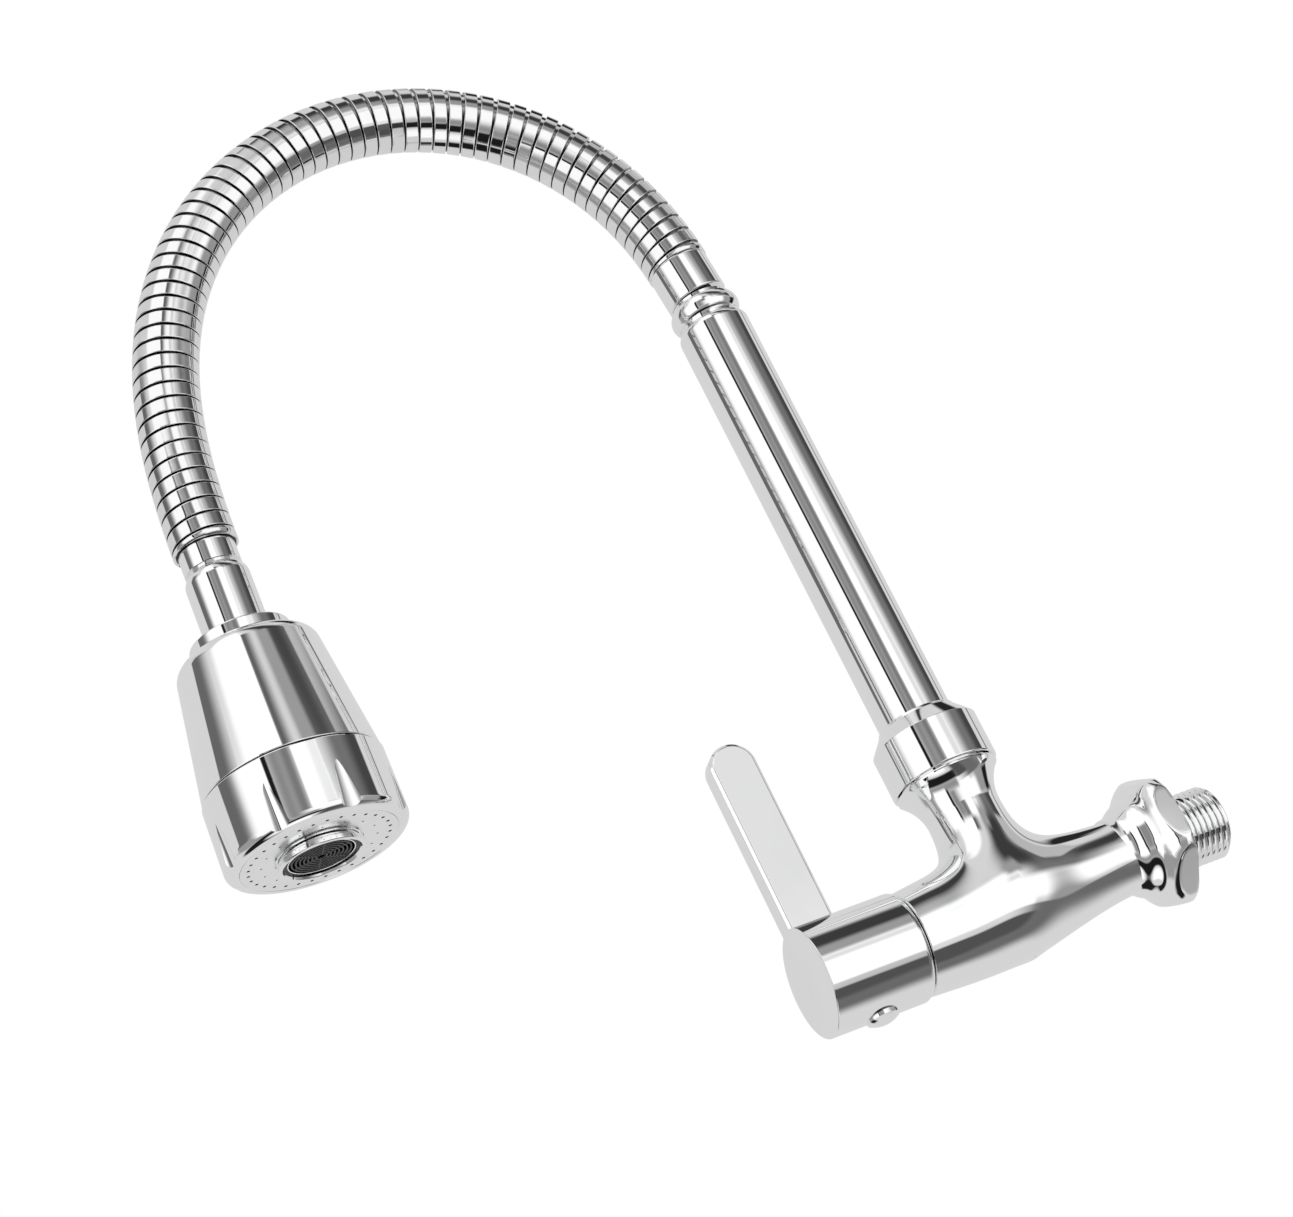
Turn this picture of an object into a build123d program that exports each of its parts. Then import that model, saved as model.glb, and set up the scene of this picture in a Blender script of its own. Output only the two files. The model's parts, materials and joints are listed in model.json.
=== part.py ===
# Flexible spout tap: wall mounted cold tap with a riser, a bendable goose neck and a two mode spray head.
# Millimetres. +Z runs up along the riser, +Y runs into the wall, and the origin is the centre of the
# hexagon flange's wall face. The valve handle points towards -Y and the goose neck arches over it.
from build123d import *
import math
import os

os.makedirs("parts", exist_ok=True)

# clearances
running_gap = 0.3
bearing_gap = 0.08
seal_gap = 0.05
seam_gap = 0.4

# wall connection
thread_major_d = 20.955
thread_len = 16.5
thread_chamfer = 1.0
waterway_d = 14.0
hex_across_flats = 30.5
hex_turn = 9.0
flange_round_d = 36.4
flange_len = 16.0

# body casting
riser_reach = 50.0
handle_drop = 3.1
body_len = 82.0
waist_d = 21.6
belly_d = 31.6
collar_d = 29.0
belly_at = 53.0
outlet_waist_d = 21.2
outlet_waist_z = 26.0
outlet_top_d = 29.8
outlet_top_z = 37.2
outlet_blend_r = 8.5
nut_boss_d = 26.6
nut_boss_len = 9.3
seat_hole_d = 9.0
crossway_d = 10.0

# ceramic cartridge
chamber_d = 20.4
cartridge_len = 24.5
crossway_entry = 5.5
seat_seal_t = 2.2
disc_t = 3.0
disc_d = 16.6
port_angle = 62.0
housing_wall = 1.2
housing_head_d = 16.0
housing_head_len = 4.0
spindle_d = 8.0
spindle_len = 42.0
spline_flat = 3.2
spindle_ring_cord = 1.8
body_ring_cord = 1.8
clip_t = 1.0
clip_rim = 2.0

# handle
hub_d = 31.0
hub_len = 30.0
hub_edge_r = 2.0
hub_recess_d = 19.0
lever_width = 13.4
lever_thick = 7.8
lever_top_z = 67.0
lever_bevel = 0.9
grub_screw_d = 5.0
grub_screw_len = 8.0
grub_screw_at = 14.5
plug_dome_d = 9.6
plug_dome_h = 2.0
plug_stem_d = 6.0
plug_stem_len = 3.0

# union nut and riser
nut_d = 31.1
nut_side_h = 13.4
nut_cone_h = 4.6
nut_lip_h = 0.8
riser_d = 21.2
riser_wall = 1.1
riser_top_z = 191.0
riser_shoulder_r = 2.4
spigot_bore_d = 15.0
spigot_insert_len = 9.0
riser_ring_cord = 2.2
slip_ring_h = 2.4
slip_ring_d = 25.8
slip_ring_split = 1.6

# hose connector on top of the riser
connector_neck_d = 17.6
bead_d = 20.8
bead_h = 5.6
bead_groove_h = 1.2
connector_bore_d = 7.0
connector_insert_len = 12.0
ferrule_d = 18.0
ferrule_len = 13.0
ferrule_lean = 4.5

# goose neck hose
hose_d = 18.7
hose_groove_depth = 0.75
hose_groove = 1.2
hose_bore_d = 11.8
segment_count = 12
turns_per_segment = 5
segment_len = 23.28
crown_bend = 18.5
crown_at = 3.4
entry_ease = 4.2
exit_ease = 13.9
joint_gap = 1.3
spigot_d = 14.2
spigot_wall = 0.9
spigot_reach = 2.0
socket_clearance = 0.6
socket_depth = 3.4
inner_hose_d = 11.2
inner_hose_bore = 8.0
inner_hose_gap = 0.9
lower_ferrule_d = 16.2
lower_ferrule_len = 6.4
barb_bore_d = 6.0
barb_len = 8.0

# spray head, measured down the head's own axis from the hose end
bell_len = 20.9
bell_d = 18.2
bell_neck_d = 13.6
bell_round = 3.6
stem_d = 13.0
stem_len = 13.0
stem_flange_d = 16.4
stem_flange_t = 2.4
stem_bore_d = 6.4
stem_ring_cord = 1.8
head_collar_d = 28.4
head_collar_h = 4.2
shell_top_d = 40.6
shell_bottom_d = 50.2
shell_crown = 4.4
shell_len = 39.5
shell_wall = 2.0
ring_step = 0.3
ring_flare = 0.3
ring_len = 21.0
ring_edge_r = 2.6
ring_wall = 2.2
flute_count = 8
flute_start_angle = 30.0
flute_tip_d = 4.0
flute_mouth_d = 11.0
flute_depth = 1.3
flute_h = 15.6
face_t = 2.4
cup_gap = 2.02
cup_wall = 1.2
spray_hole_count = 32
spray_hole_d = 1.0
nozzle_d = 24.6
nozzle_proud = 2.6
nozzle_wall = 1.3
aerator_d = 21.4
screen_t = 0.8
core_foot_step = 2.2
core_top_len = 8.0
core_len = 26.4
core_waist_step = 0.8
core_foot_len = 6.0
core_ring_cord = 1.8
core_post_d = 7.0
inner_port_r = 6.8
inner_port_d = 4.0
outer_port_inset = 3.0
outer_port_d = 3.4
mode_disc_t = 2.6
mode_travel = 60.0
keeper_head_d = 9.0
keeper_head_h = 1.8
keeper_shank_d = 3.0
keeper_shank_len = 6.0

# diameters of the head that follow from its outside
ring_top_d = shell_bottom_d + 2 * ring_step
ring_bottom_d = ring_top_d + 2 * ring_flare
core_foot_d = ring_bottom_d - 2 * (ring_wall + cup_gap + cup_wall + bearing_gap)
core_d = core_foot_d - 2 * core_foot_step
core_waist_d = core_d - 2 * core_waist_step
outer_port_r = core_waist_d / 2 - outer_port_inset
mode_disc_d = core_d
spray_hole_circle_d = core_foot_d - spray_hole_d

# working frames: local Z runs along each axis away from the wall, up the riser or down the head
inlet_frame = Plane(origin=(0, 0, 0), x_dir=(1, 0, 0), z_dir=(0, -1, 0))
handle_frame = Plane(origin=(0, 0, -handle_drop), x_dir=(1, 0, 0), z_dir=(0, -1, 0))
barrel_frame = Plane(origin=(0, 0, 0), x_dir=(1, 0, 0), z_dir=(0, -body_len, -handle_drop))
riser_frame = Plane(origin=(0, -riser_reach, 0), x_dir=(1, 0, 0), z_dir=(0, 0, 1))

# heights up the riser
nut_base_z = outlet_top_z + seam_gap
nut_side_top_z = nut_base_z + nut_side_h
nut_top_z = nut_side_top_z + nut_cone_h + nut_lip_h
boss_top_z = outlet_top_z + nut_boss_len
slip_ring_z = boss_top_z + seam_gap
nut_shoulder_z = slip_ring_z + slip_ring_h + seam_gap
spigot_base_z = outlet_waist_z + 5.6
tube_base_z = nut_shoulder_z + seam_gap
connector_z = riser_top_z + bead_groove_h
bead_top_z = connector_z + bead_h
ferrule_z = bead_top_z + bead_groove_h
riser_seat_d = riser_d - 2 * riser_ring_cord + 0.2


def turned(frame, corners):
    """Solid of revolution about a frame's Z axis from (radius, height) corners."""
    outline = make_face(Polyline(*corners, close=True))
    return frame * revolve(Plane.XZ * outline, Axis.Z)


def turned_outline(frame, edges):
    """Solid of revolution about a frame's Z axis from a closed chain of edges."""
    outline = make_face(Curve() + edges)
    return frame * revolve(Plane.XZ * outline, Axis.Z)


def disc(frame, diameter, low, high):
    """Plain cylinder on a frame's Z axis."""
    return frame * Pos(0, 0, low) * extrude(Circle(diameter / 2), high - low)


def ring(frame, outer_d, inner_d, low, high):
    """Plain ring on a frame's Z axis."""
    flat = Circle(outer_d / 2) - Circle(inner_d / 2)
    return frame * Pos(0, 0, low) * extrude(flat, high - low)


def seal_ring(frame, seat_d, bore_d, height, middle):
    """Rubber ring that fills a groove between a shaft and its bore."""
    half = height / 2 - seal_gap
    return ring(frame, bore_d - 2 * seal_gap, seat_d + 2 * seal_gap, middle - half, middle + half)


def groove(frame, outer_d, seat_d, height, middle):
    """Cutter for a seal groove in a shaft."""
    return ring(frame, outer_d + 1, seat_d, middle - height / 2, middle + height / 2)


def save(node, solid):
    """Write one sub-part under its node's name."""
    solid.label = node
    export_step(solid, "parts/" + node + ".step")


# body casting

def barrel():
    """Bulged body between the flange neck and the handle collar."""
    start = flange_len - 3
    side = Spline(
        (waist_d / 2, start),
        (belly_d / 2, belly_at),
        (collar_d / 2, body_len + 2),
        tangents=((0.0, 1.0), (-0.07, 1.0)),
    )
    edges = [
        Line((0, start), (waist_d / 2, start)),
        side,
        Line((collar_d / 2, body_len + 2), (0, body_len + 2)),
        Line((0, body_len + 2), (0, start)),
    ]
    solid = turned_outline(barrel_frame, edges)
    trim = inlet_frame * Pos(0, 0, body_len) * extrude(Rectangle(4 * belly_d, 4 * belly_d), belly_d)
    return solid - trim


def flange():
    """Trumpet flare of the neck, cut to a hexagon at the wall end."""
    rim = flange_round_d / 2
    flare = Spline(
        (rim, 2.6),
        (rim - 3.4, 8.6),
        (waist_d / 2, flange_len),
        tangents=((-0.25, 1.0), (-0.12, 1.0)),
    )
    edges = [
        Line((0, 0), (rim, 0)),
        Line((rim, 0), (rim, 2.6)),
        flare,
        Line((waist_d / 2, flange_len), (0, flange_len)),
        Line((0, flange_len), (0, 0)),
    ]
    trumpet = turned_outline(inlet_frame, edges)
    corner_r = hex_across_flats / 2 / math.cos(math.pi / 6)
    flats = inlet_frame * Rot(0, 0, 90 + hex_turn) * extrude(RegularPolygon(corner_r, 6), flange_len)
    return trumpet & flats


def outlet_neck():
    """Upright outlet that flares out to the union nut's seat."""
    waist = outlet_waist_d / 2
    top = outlet_top_d / 2
    flare = ThreePointArc(
        (waist, outlet_waist_z),
        (waist + 1.3, outlet_waist_z + 5.8),
        (top, outlet_top_z - 0.8),
    )
    edges = [
        Line((0, 0), (waist, 0)),
        Line((waist, 0), (waist, outlet_waist_z)),
        flare,
        Line((top, outlet_top_z - 0.8), (top, outlet_top_z)),
        Line((top, outlet_top_z), (0, outlet_top_z)),
        Line((0, outlet_top_z), (0, 0)),
    ]
    return turned_outline(riser_frame, edges)


def blended_body():
    """Barrel and outlet neck joined with the casting's large blend."""
    joined = barrel() + outlet_neck()
    low = -handle_drop
    saddle = [
        edge
        for edge in joined.edges()
        if low < edge.center().Z < outlet_waist_z - 6
        and abs(edge.center().Y + riser_reach) < outlet_waist_d
        and edge.geom_type not in (GeomType.CIRCLE, GeomType.LINE)
    ]
    return fillet(saddle, outlet_blend_r)


def crossway():
    """Slanted drilling from the valve chamber up to the riser socket."""
    low = Vector(0, -chamber_floor - crossway_entry, -2)
    high = Vector(0, -riser_reach, outlet_waist_z + 1.5)
    path = high - low
    frame = Plane(origin=low, x_dir=(1, 0, 0), z_dir=path)
    return disc(frame, crossway_d, 0, path.length)


def valve_body():
    """Chromed casting with the wall thread, hexagon flange, valve chamber and outlet."""
    thread_r = thread_major_d / 2
    stub = turned(inlet_frame, [
        (0, 1),
        (thread_r, 1),
        (thread_r, thread_chamfer - thread_len),
        (thread_r - thread_chamfer, -thread_len),
        (0, -thread_len),
    ])
    solid = blended_body() + flange() + stub
    solid += disc(riser_frame, nut_boss_d, outlet_top_z - 1, boss_top_z)
    solid -= disc(inlet_frame, waterway_d, -thread_len - 1, riser_reach - 3)
    solid -= disc(handle_frame, seat_hole_d, riser_reach - 8, chamber_floor + 1)
    solid -= disc(handle_frame, chamber_d, chamber_floor, body_len + 1)
    solid -= crossway()
    solid -= disc(riser_frame, spigot_bore_d, outlet_waist_z - 1.5, spigot_base_z + 1)
    solid -= disc(riser_frame, riser_d + 2 * bearing_gap, spigot_base_z - running_gap, boss_top_z + 1)
    return solid


# ceramic cartridge, stacked from the chamber floor towards the handle

chamber_floor = body_len - cartridge_len
seal_top = chamber_floor + seat_seal_t
fixed_top = seal_top + disc_t
moving_base = fixed_top + bearing_gap
moving_top = moving_base + disc_t
housing_d = chamber_d - 2 * bearing_gap
cage_bore_d = disc_d + 2 * running_gap
hub_base = body_len + running_gap
spindle_base = moving_top + seal_gap
spindle_foot_d = cage_bore_d - 2 * running_gap
spindle_seat_d = spindle_d - 2 * spindle_ring_cord + 1.6
cartridge_seat_d = housing_d - 2 * body_ring_cord


def seat_seal():
    """Rubber seal between the chamber floor and the fixed disc."""
    return ring(handle_frame, disc_d, seat_hole_d, chamber_floor, seal_top)


def ported_disc(low, high, turn):
    """Ceramic disc with two facing sector ports."""
    solid = disc(handle_frame, disc_d, low, high)
    reach = disc_d / 2 - 1.8
    half = port_angle / 2
    for side in (0, 180):
        wedge = make_face(Polyline(
            (1.2, 0),
            (reach * math.cos(math.radians(half)), reach * math.sin(math.radians(half))),
            (reach, 0),
            (reach * math.cos(math.radians(half)), -reach * math.sin(math.radians(half))),
            close=True,
        ))
        tool = extrude(wedge, high - low + 2)
        solid -= handle_frame * Pos(0, 0, low - 1) * Rot(0, 0, side + turn) * tool
    return solid


def fixed_disc():
    """Lower ceramic disc, keyed in the housing."""
    return ported_disc(seal_top, fixed_top, 0)


def moving_disc():
    """Upper ceramic disc, turned a quarter by the spindle."""
    return ported_disc(moving_base, moving_top, 90)


def cartridge_housing():
    """Brass cartridge with side windows, a guide for the spindle and a flanged head."""
    base = chamber_floor + seat_seal_t + running_gap
    flange_low = body_len - 3
    solid = disc(handle_frame, housing_d, flange_low, body_len)
    solid += disc(handle_frame, housing_d - 1.6, base, flange_low)
    solid += disc(handle_frame, housing_head_d, body_len, body_len + housing_head_len)
    solid -= disc(handle_frame, cage_bore_d, base - 1, moving_top + clip_rim + 2.4)
    solid -= disc(handle_frame, spindle_d + 2 * bearing_gap, base, body_len + housing_head_len + 1)
    window = handle_frame * Pos(0, 0, moving_top - 2) * extrude(Rectangle(7, 3 * chamber_d), 4)
    solid += ring(handle_frame, housing_d, housing_d - 2, body_len - 10, body_len - 3)
    return solid - window - groove(handle_frame, housing_d, cartridge_seat_d, body_ring_cord, body_len - 7)


def cartridge_ring():
    """Rubber ring that seals the cartridge in the body."""
    return seal_ring(handle_frame, cartridge_seat_d, chamber_d, body_ring_cord, body_len - 7)


def spindle():
    """Brass spindle with a drive foot, two seal grooves, a clip groove and a flatted end."""
    foot_top = moving_top + clip_rim + 2
    end = spindle_base + spindle_len
    solid = disc(handle_frame, spindle_foot_d, spindle_base, foot_top)
    solid += disc(handle_frame, spindle_d, foot_top - 1, end)
    for middle in spindle_ring_places():
        solid -= groove(handle_frame, spindle_d, spindle_seat_d, spindle_ring_cord, middle)
    clip_low = body_len + housing_head_len + running_gap
    solid -= ring(handle_frame, spindle_d + 1, spindle_d - clip_rim, clip_low, clip_low + clip_t)
    flat = handle_frame * Pos(0, -spline_flat - spindle_d / 2, clip_low + 2 * clip_t)
    flat = flat * extrude(Rectangle(2 * spindle_d, spindle_d), spindle_len)
    return solid - flat


def spindle_ring_places():
    """Stations of the two spindle seals along the handle axis."""
    return (body_len - 6.5, body_len - 2.5)


def spindle_rings():
    """Two rubber rings between the spindle and its housing."""
    bore = spindle_d + 2 * bearing_gap
    rings = [
        seal_ring(handle_frame, spindle_seat_d, bore, spindle_ring_cord, middle)
        for middle in spindle_ring_places()
    ]
    return Compound(children=rings)


def spindle_clip():
    """Spring clip that keeps the spindle in its housing."""
    low = body_len + housing_head_len + running_gap + seal_gap
    inner = spindle_d - clip_rim + 2 * seal_gap
    solid = ring(handle_frame, spindle_d + 2 * clip_rim, inner, low, low + clip_t - 2 * seal_gap)
    mouth = handle_frame * Pos(0, spindle_d, low - 1) * extrude(Rectangle(inner * 0.7, 2 * spindle_d), 3)
    return solid - mouth


# handle

hub_end = hub_base + hub_len
lever_low = hub_end - lever_width
screw_station = hub_end - grub_screw_at
spindle_end = spindle_base + spindle_len


def lever_blade():
    """Flat upright blade with a half round top."""
    r = lever_width / 2
    height = lever_top_z + handle_drop - r
    middle = hub_end - r
    blank = Pos(0, height / 2) * Rectangle(lever_width, height) + Pos(0, height) * Circle(r)
    solid = extrude(Plane.YZ * Pos(-middle, -handle_drop) * blank, lever_thick / 2, both=True)
    rims = [edge for edge in solid.edges() if abs(abs(edge.center().X) - lever_thick / 2) < 0.01]
    rims = [edge for edge in rims if edge.center().Z > hub_d / 2 - handle_drop]
    return chamfer(rims, lever_bevel)


def control_handle():
    """Cast hub with the lever, hollowed for the cartridge head and bored for the spindle."""
    r = hub_d / 2
    edge = hub_edge_r
    outline = [
        Line((0, hub_base), (r - edge, hub_base)),
        RadiusArc((r - edge, hub_base), (r, hub_base + edge), -edge),
        Line((r, hub_base + edge), (r, hub_end - 0.5)),
        Line((r, hub_end - 0.5), (r - 0.5, hub_end)),
        Line((r - 0.5, hub_end), (0, hub_end)),
        Line((0, hub_end), (0, hub_base)),
    ]
    solid = turned_outline(handle_frame, outline) + lever_blade()
    recess_top = body_len + housing_head_len + 2.4
    solid -= disc(handle_frame, hub_recess_d, hub_base - 1, recess_top)
    bore = disc(handle_frame, spindle_d + 2 * bearing_gap, recess_top - 1, spindle_end + running_gap)
    key = handle_frame * Pos(0, -spline_flat - bearing_gap - spindle_d / 2, recess_top - 1)
    key = key * extrude(Rectangle(2 * spindle_d, spindle_d), spindle_len)
    solid -= bore - key
    down = screw_frame()
    solid -= disc(down, grub_screw_d + 2 * bearing_gap, 0, r + 1)
    solid -= disc(down, plug_stem_d + 2 * bearing_gap, r - plug_stem_len - running_gap, r + 1)
    return solid


def screw_frame():
    """Frame of the handle's grub screw, pointing out of the hub's underside."""
    return Plane(origin=(0, -screw_station, -handle_drop), x_dir=(1, 0, 0), z_dir=(0, 0, -1))


def handle_screw():
    """Grub screw that clamps the hub to the spindle's flat."""
    down = screw_frame()
    tip = spline_flat + bearing_gap
    solid = disc(down, grub_screw_d, tip, tip + grub_screw_len)
    socket = down * Pos(0, 0, tip + grub_screw_len - 2.5) * extrude(RegularPolygon(1.4, 6), 3)
    return solid - socket


def screw_plug():
    """Domed plug that hides the grub screw."""
    seat = hub_d / 2
    dome_r = plug_dome_d / 2
    skirt = seat - math.sqrt(seat ** 2 - dome_r ** 2)
    edges = [
        Line((0, seat - skirt - 0.2), (dome_r, seat - skirt - 0.2)),
        Line((dome_r, seat - skirt - 0.2), (dome_r, seat + 0.3)),
        TangentArc((0, seat + plug_dome_h), (dome_r, seat + 0.3), tangent=(1, 0)),
        Line((0, seat + plug_dome_h), (0, seat - skirt - 0.2)),
    ]
    dome = turned_outline(screw_frame(), edges)
    dome -= disc(handle_frame, hub_d + 0.1, hub_base, hub_end)
    return dome + disc(screw_frame(), plug_stem_d, seat - plug_stem_len, seat + 0.5)


# union nut, riser and hose connector

def union_nut():
    """Round union nut with a conical shoulder that keeps the riser in the body."""
    r = nut_d / 2
    lip = riser_d / 2 + running_gap
    return turned(riser_frame, [
        (nut_boss_d / 2 + bearing_gap, nut_base_z),
        (r - 0.5, nut_base_z),
        (r, nut_base_z + 0.5),
        (r, nut_side_top_z),
        (lip + 0.6, nut_side_top_z + nut_cone_h),
        (lip + 0.4, nut_top_z),
        (lip, nut_top_z),
        (lip, nut_shoulder_z),
        (nut_boss_d / 2 + bearing_gap, nut_shoulder_z),
    ])


def riser_ring_places():
    """Heights of the two seals on the riser's spigot."""
    return (spigot_base_z + 4.0, spigot_base_z + 10.0)


def riser_spigot():
    """Brass foot of the riser with seal grooves and the slip ring groove."""
    tube_bore_d = riser_d - 2 * riser_wall
    solid = disc(riser_frame, riser_d, spigot_base_z, tube_base_z)
    solid += disc(riser_frame, tube_bore_d - seal_gap, tube_base_z - 1, tube_base_z + spigot_insert_len)
    solid -= disc(riser_frame, spigot_bore_d - 1.2, spigot_base_z - 1, tube_base_z + spigot_insert_len + 1)
    for middle in riser_ring_places():
        solid -= groove(riser_frame, riser_d, riser_seat_d, riser_ring_cord, middle)
    solid -= ring(riser_frame, riser_d + 1, riser_d - 2.4, slip_ring_z, slip_ring_z + slip_ring_h)
    return solid


def riser_rings():
    """Two rubber rings between the riser's foot and the body."""
    bore = riser_d + 2 * bearing_gap
    rings = [
        seal_ring(riser_frame, riser_seat_d, bore, riser_ring_cord, middle)
        for middle in riser_ring_places()
    ]
    return Compound(children=rings)


def slip_ring():
    """Split nylon ring on which the union nut bears."""
    low = slip_ring_z + seal_gap
    inner = riser_d - 2.4 + 2 * seal_gap
    solid = ring(riser_frame, slip_ring_d, inner, low, low + slip_ring_h - 2 * seal_gap)
    split = riser_frame * Pos(slip_ring_d / 2, 0, low - 1)
    split = split * extrude(Rectangle(slip_ring_d, slip_ring_split), slip_ring_h + 2)
    return solid - split


def riser_tube():
    """Plain riser tube, rolled in at the top."""
    r = riser_d / 2
    roll = riser_shoulder_r
    bore = r - riser_wall
    mouth = connector_neck_d / 2 + seal_gap
    edges = [
        Line((bore, tube_base_z), (r, tube_base_z)),
        Line((r, tube_base_z), (r, riser_top_z - roll)),
        TangentArc((r, riser_top_z - roll), (mouth + 0.15, riser_top_z), tangent=(0, 1)),
        Line((mouth + 0.15, riser_top_z), (mouth, riser_top_z)),
        Line((mouth, riser_top_z), (mouth, riser_top_z - roll)),
        Line((mouth, riser_top_z - roll), (bore, riser_top_z - roll - 1)),
        Line((bore, riser_top_z - roll - 1), (bore, tube_base_z)),
    ]
    return turned_outline(riser_frame, edges)


def hose_connector():
    """Brass connector in the riser's top, with the raised bead below the ferrule."""
    neck = connector_neck_d / 2
    bead = bead_d / 2
    bore = connector_bore_d / 2
    insert = riser_d / 2 - riser_wall - seal_gap
    insert_top = riser_top_z - riser_shoulder_r - 1.6
    insert_low = insert_top - connector_insert_len
    middle = connector_z + bead_h / 2
    edges = [
        Line((bore, insert_low), (insert, insert_low)),
        Line((insert, insert_low), (insert, insert_top)),
        Line((insert, insert_top), (neck, insert_top)),
        Line((neck, insert_top), (neck, connector_z)),
        Line((neck, connector_z), (neck + 0.5, connector_z)),
        ThreePointArc((neck + 0.5, connector_z), (bead, middle), (neck + 0.5, bead_top_z)),
        Line((neck + 0.5, bead_top_z), (neck - 0.6, bead_top_z)),
        Line((neck - 0.6, bead_top_z), (neck - 0.6, ferrule_z)),
        Line((neck - 0.6, ferrule_z), (bore, ferrule_z)),
        Line((bore, ferrule_z), (bore, insert_low)),
    ]
    barb = ring(ferrule_frame, inner_hose_bore - 2 * seal_gap, barb_bore_d, -1, barb_len)
    waterway = disc(riser_frame, connector_bore_d, ferrule_z - 3, ferrule_z - 0.8)
    return turned_outline(riser_frame, edges) + (barb - waterway)


# goose neck: one arc per segment, each joined to the next by a hinge at its end

lean = math.radians(ferrule_lean)
ferrule_frame = Plane(
    origin=(0, -riser_reach, ferrule_z),
    x_dir=(1, 0, 0),
    z_dir=(0, -math.sin(lean), math.cos(lean)),
)


def upper_ferrule():
    """Crimped sleeve between the connector and the hose, leaning into the arch."""
    r = ferrule_d / 2
    bore = inner_hose_d / 2 + seal_gap
    sleeve = turned(ferrule_frame, [
        (bore, 0.5),
        (r - 0.5, 0.5),
        (r, 1.0),
        (r, ferrule_len - 0.4),
        (r - 0.4, ferrule_len),
        (bore, ferrule_len),
    ])
    below = riser_frame * Pos(0, 0, ferrule_z - 5) * extrude(Circle(bead_d), 5 + seal_gap)
    return sleeve - below


def segment_bend(index):
    """Bend of one hose segment in degrees, sharpest near the crown and easing to both ends."""
    if index < crown_at:
        ease = (crown_at - index) / crown_at
        return crown_bend - entry_ease * ease ** 2
    ease = (index - crown_at) / (segment_count - 1 - crown_at)
    return crown_bend - exit_ease * ease ** 2


def segment_starts():
    """Point and tangent angle in the YZ plane where each segment starts, and where the last one ends."""
    angle = lean
    y = -riser_reach - ferrule_len * math.sin(lean)
    z = ferrule_z + ferrule_len * math.cos(lean)
    stations = [(y, z, angle)]
    for index in range(segment_count):
        bend = math.radians(segment_bend(index))
        radius = segment_len / bend
        y -= radius * (math.cos(angle) - math.cos(angle + bend))
        z += radius * (math.sin(angle + bend) - math.sin(angle))
        angle += bend
        stations.append((y, z, angle))
    return stations


hose_stations = segment_starts()


def hose_plane(index, along):
    """Section plane of a segment at a distance along its centre line."""
    y, z, angle = hose_stations[index]
    bend = math.radians(segment_bend(min(index, segment_count - 1)))
    radius = segment_len / bend
    turn = angle + bend * along / segment_len
    y -= radius * (math.cos(angle) - math.cos(turn))
    z += radius * (math.sin(turn) - math.sin(angle))
    return Plane(origin=(0, y, z), x_dir=(1, 0, 0), z_dir=(0, -math.sin(turn), math.cos(turn)))


def tube_between(index, diameter, low, high):
    """Straight round bar between two sections of a segment's centre line."""
    sections = [hose_plane(index, along) * Circle(diameter / 2) for along in (low, high)]
    return loft(sections, ruled=True)


def segment_ends(index):
    """Where a segment's turns start and stop, so that it clears its neighbours when it hinges."""
    low = 0 if index == 0 else joint_gap / 2
    high = segment_len if index == segment_count - 1 else segment_len - joint_gap / 2
    return low, high


def ribbed_shell(index):
    """Raised turns of one segment, a ruled loft through the circles of each turn."""
    low, high = segment_ends(index)
    crest = hose_d / 2
    root = crest - hose_groove_depth
    pitch = segment_len / turns_per_segment
    half = hose_groove / 2
    circles = [(low, crest)]
    for turn in range(1, turns_per_segment):
        groove = turn * pitch
        circles += [(groove - half, crest), (groove, root), (groove + half, crest)]
    circles.append((high, crest))
    return loft([hose_plane(index, along) * Circle(r) for along, r in circles], ruled=True)


def hose_segment(index):
    """One stiff length of the wound hose, with a socket at its start and a spigot at its end."""
    low, high = segment_ends(index)
    solid = ribbed_shell(index)
    if index < segment_count - 1:
        solid += tube_between(index, spigot_d, high - 2, segment_len + spigot_reach)
    solid -= tube_between(index, hose_bore_d, -0.05, segment_len + 0.05)
    if index > 0:
        solid -= tube_between(index, spigot_d + 2 * socket_clearance, 0, socket_depth)
    if index < segment_count - 1:
        mouth_d = spigot_d - 2 * spigot_wall
        solid -= tube_between(index, mouth_d, high - 1.5, segment_len + spigot_reach + 1)
    return solid


def inner_hose(index):
    """Water tube inside one hose segment, carried on over the barb at either end of the hose."""
    low = 0 if index == 0 else inner_hose_gap / 2
    high = segment_len - (0 if index == segment_count - 1 else inner_hose_gap / 2)
    outer = tube_between(index, inner_hose_d, low, high)
    bore = tube_between(index, inner_hose_bore, low, high)
    if index == 0:
        outer += disc(ferrule_frame, inner_hose_d, running_gap + 0.2, ferrule_len)
        bore += disc(ferrule_frame, inner_hose_bore, 0, ferrule_len)
    if index == segment_count - 1:
        outer += disc(hose_end_frame, inner_hose_d, 0, lower_ferrule_len - 0.2)
        bore += disc(hose_end_frame, inner_hose_bore, 0, lower_ferrule_len)
    return outer - bore


# spray head, on the axis that the hose ends with

end_y, end_z, end_angle = hose_stations[-1]
head_axis = (0, -math.sin(end_angle), math.cos(end_angle))
hose_end_frame = Plane(origin=(0, end_y, end_z), x_dir=(1, 0, 0), z_dir=head_axis)
bell_base = lower_ferrule_len + seam_gap
bell_end = bell_base + bell_len
collar_base = bell_end + running_gap
collar_end = collar_base + head_collar_h
shell_base = collar_end
shell_end = shell_base + shell_len
ring_base = shell_end + seam_gap
ring_end = ring_base + ring_len
face_base = ring_end - face_t
nozzle_end = ring_end + nozzle_proud
stem_end = bell_end + stem_len
core_base = stem_end + 2.0
core_end = core_base + core_len
mode_disc_base = core_end + bearing_gap
mode_disc_end = mode_disc_base + mode_disc_t
nozzle_base = mode_disc_end + seal_gap
nozzle_floor = nozzle_base + 2.2
stem_seat_d = stem_d - 2 * stem_ring_cord + 1.0
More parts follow.
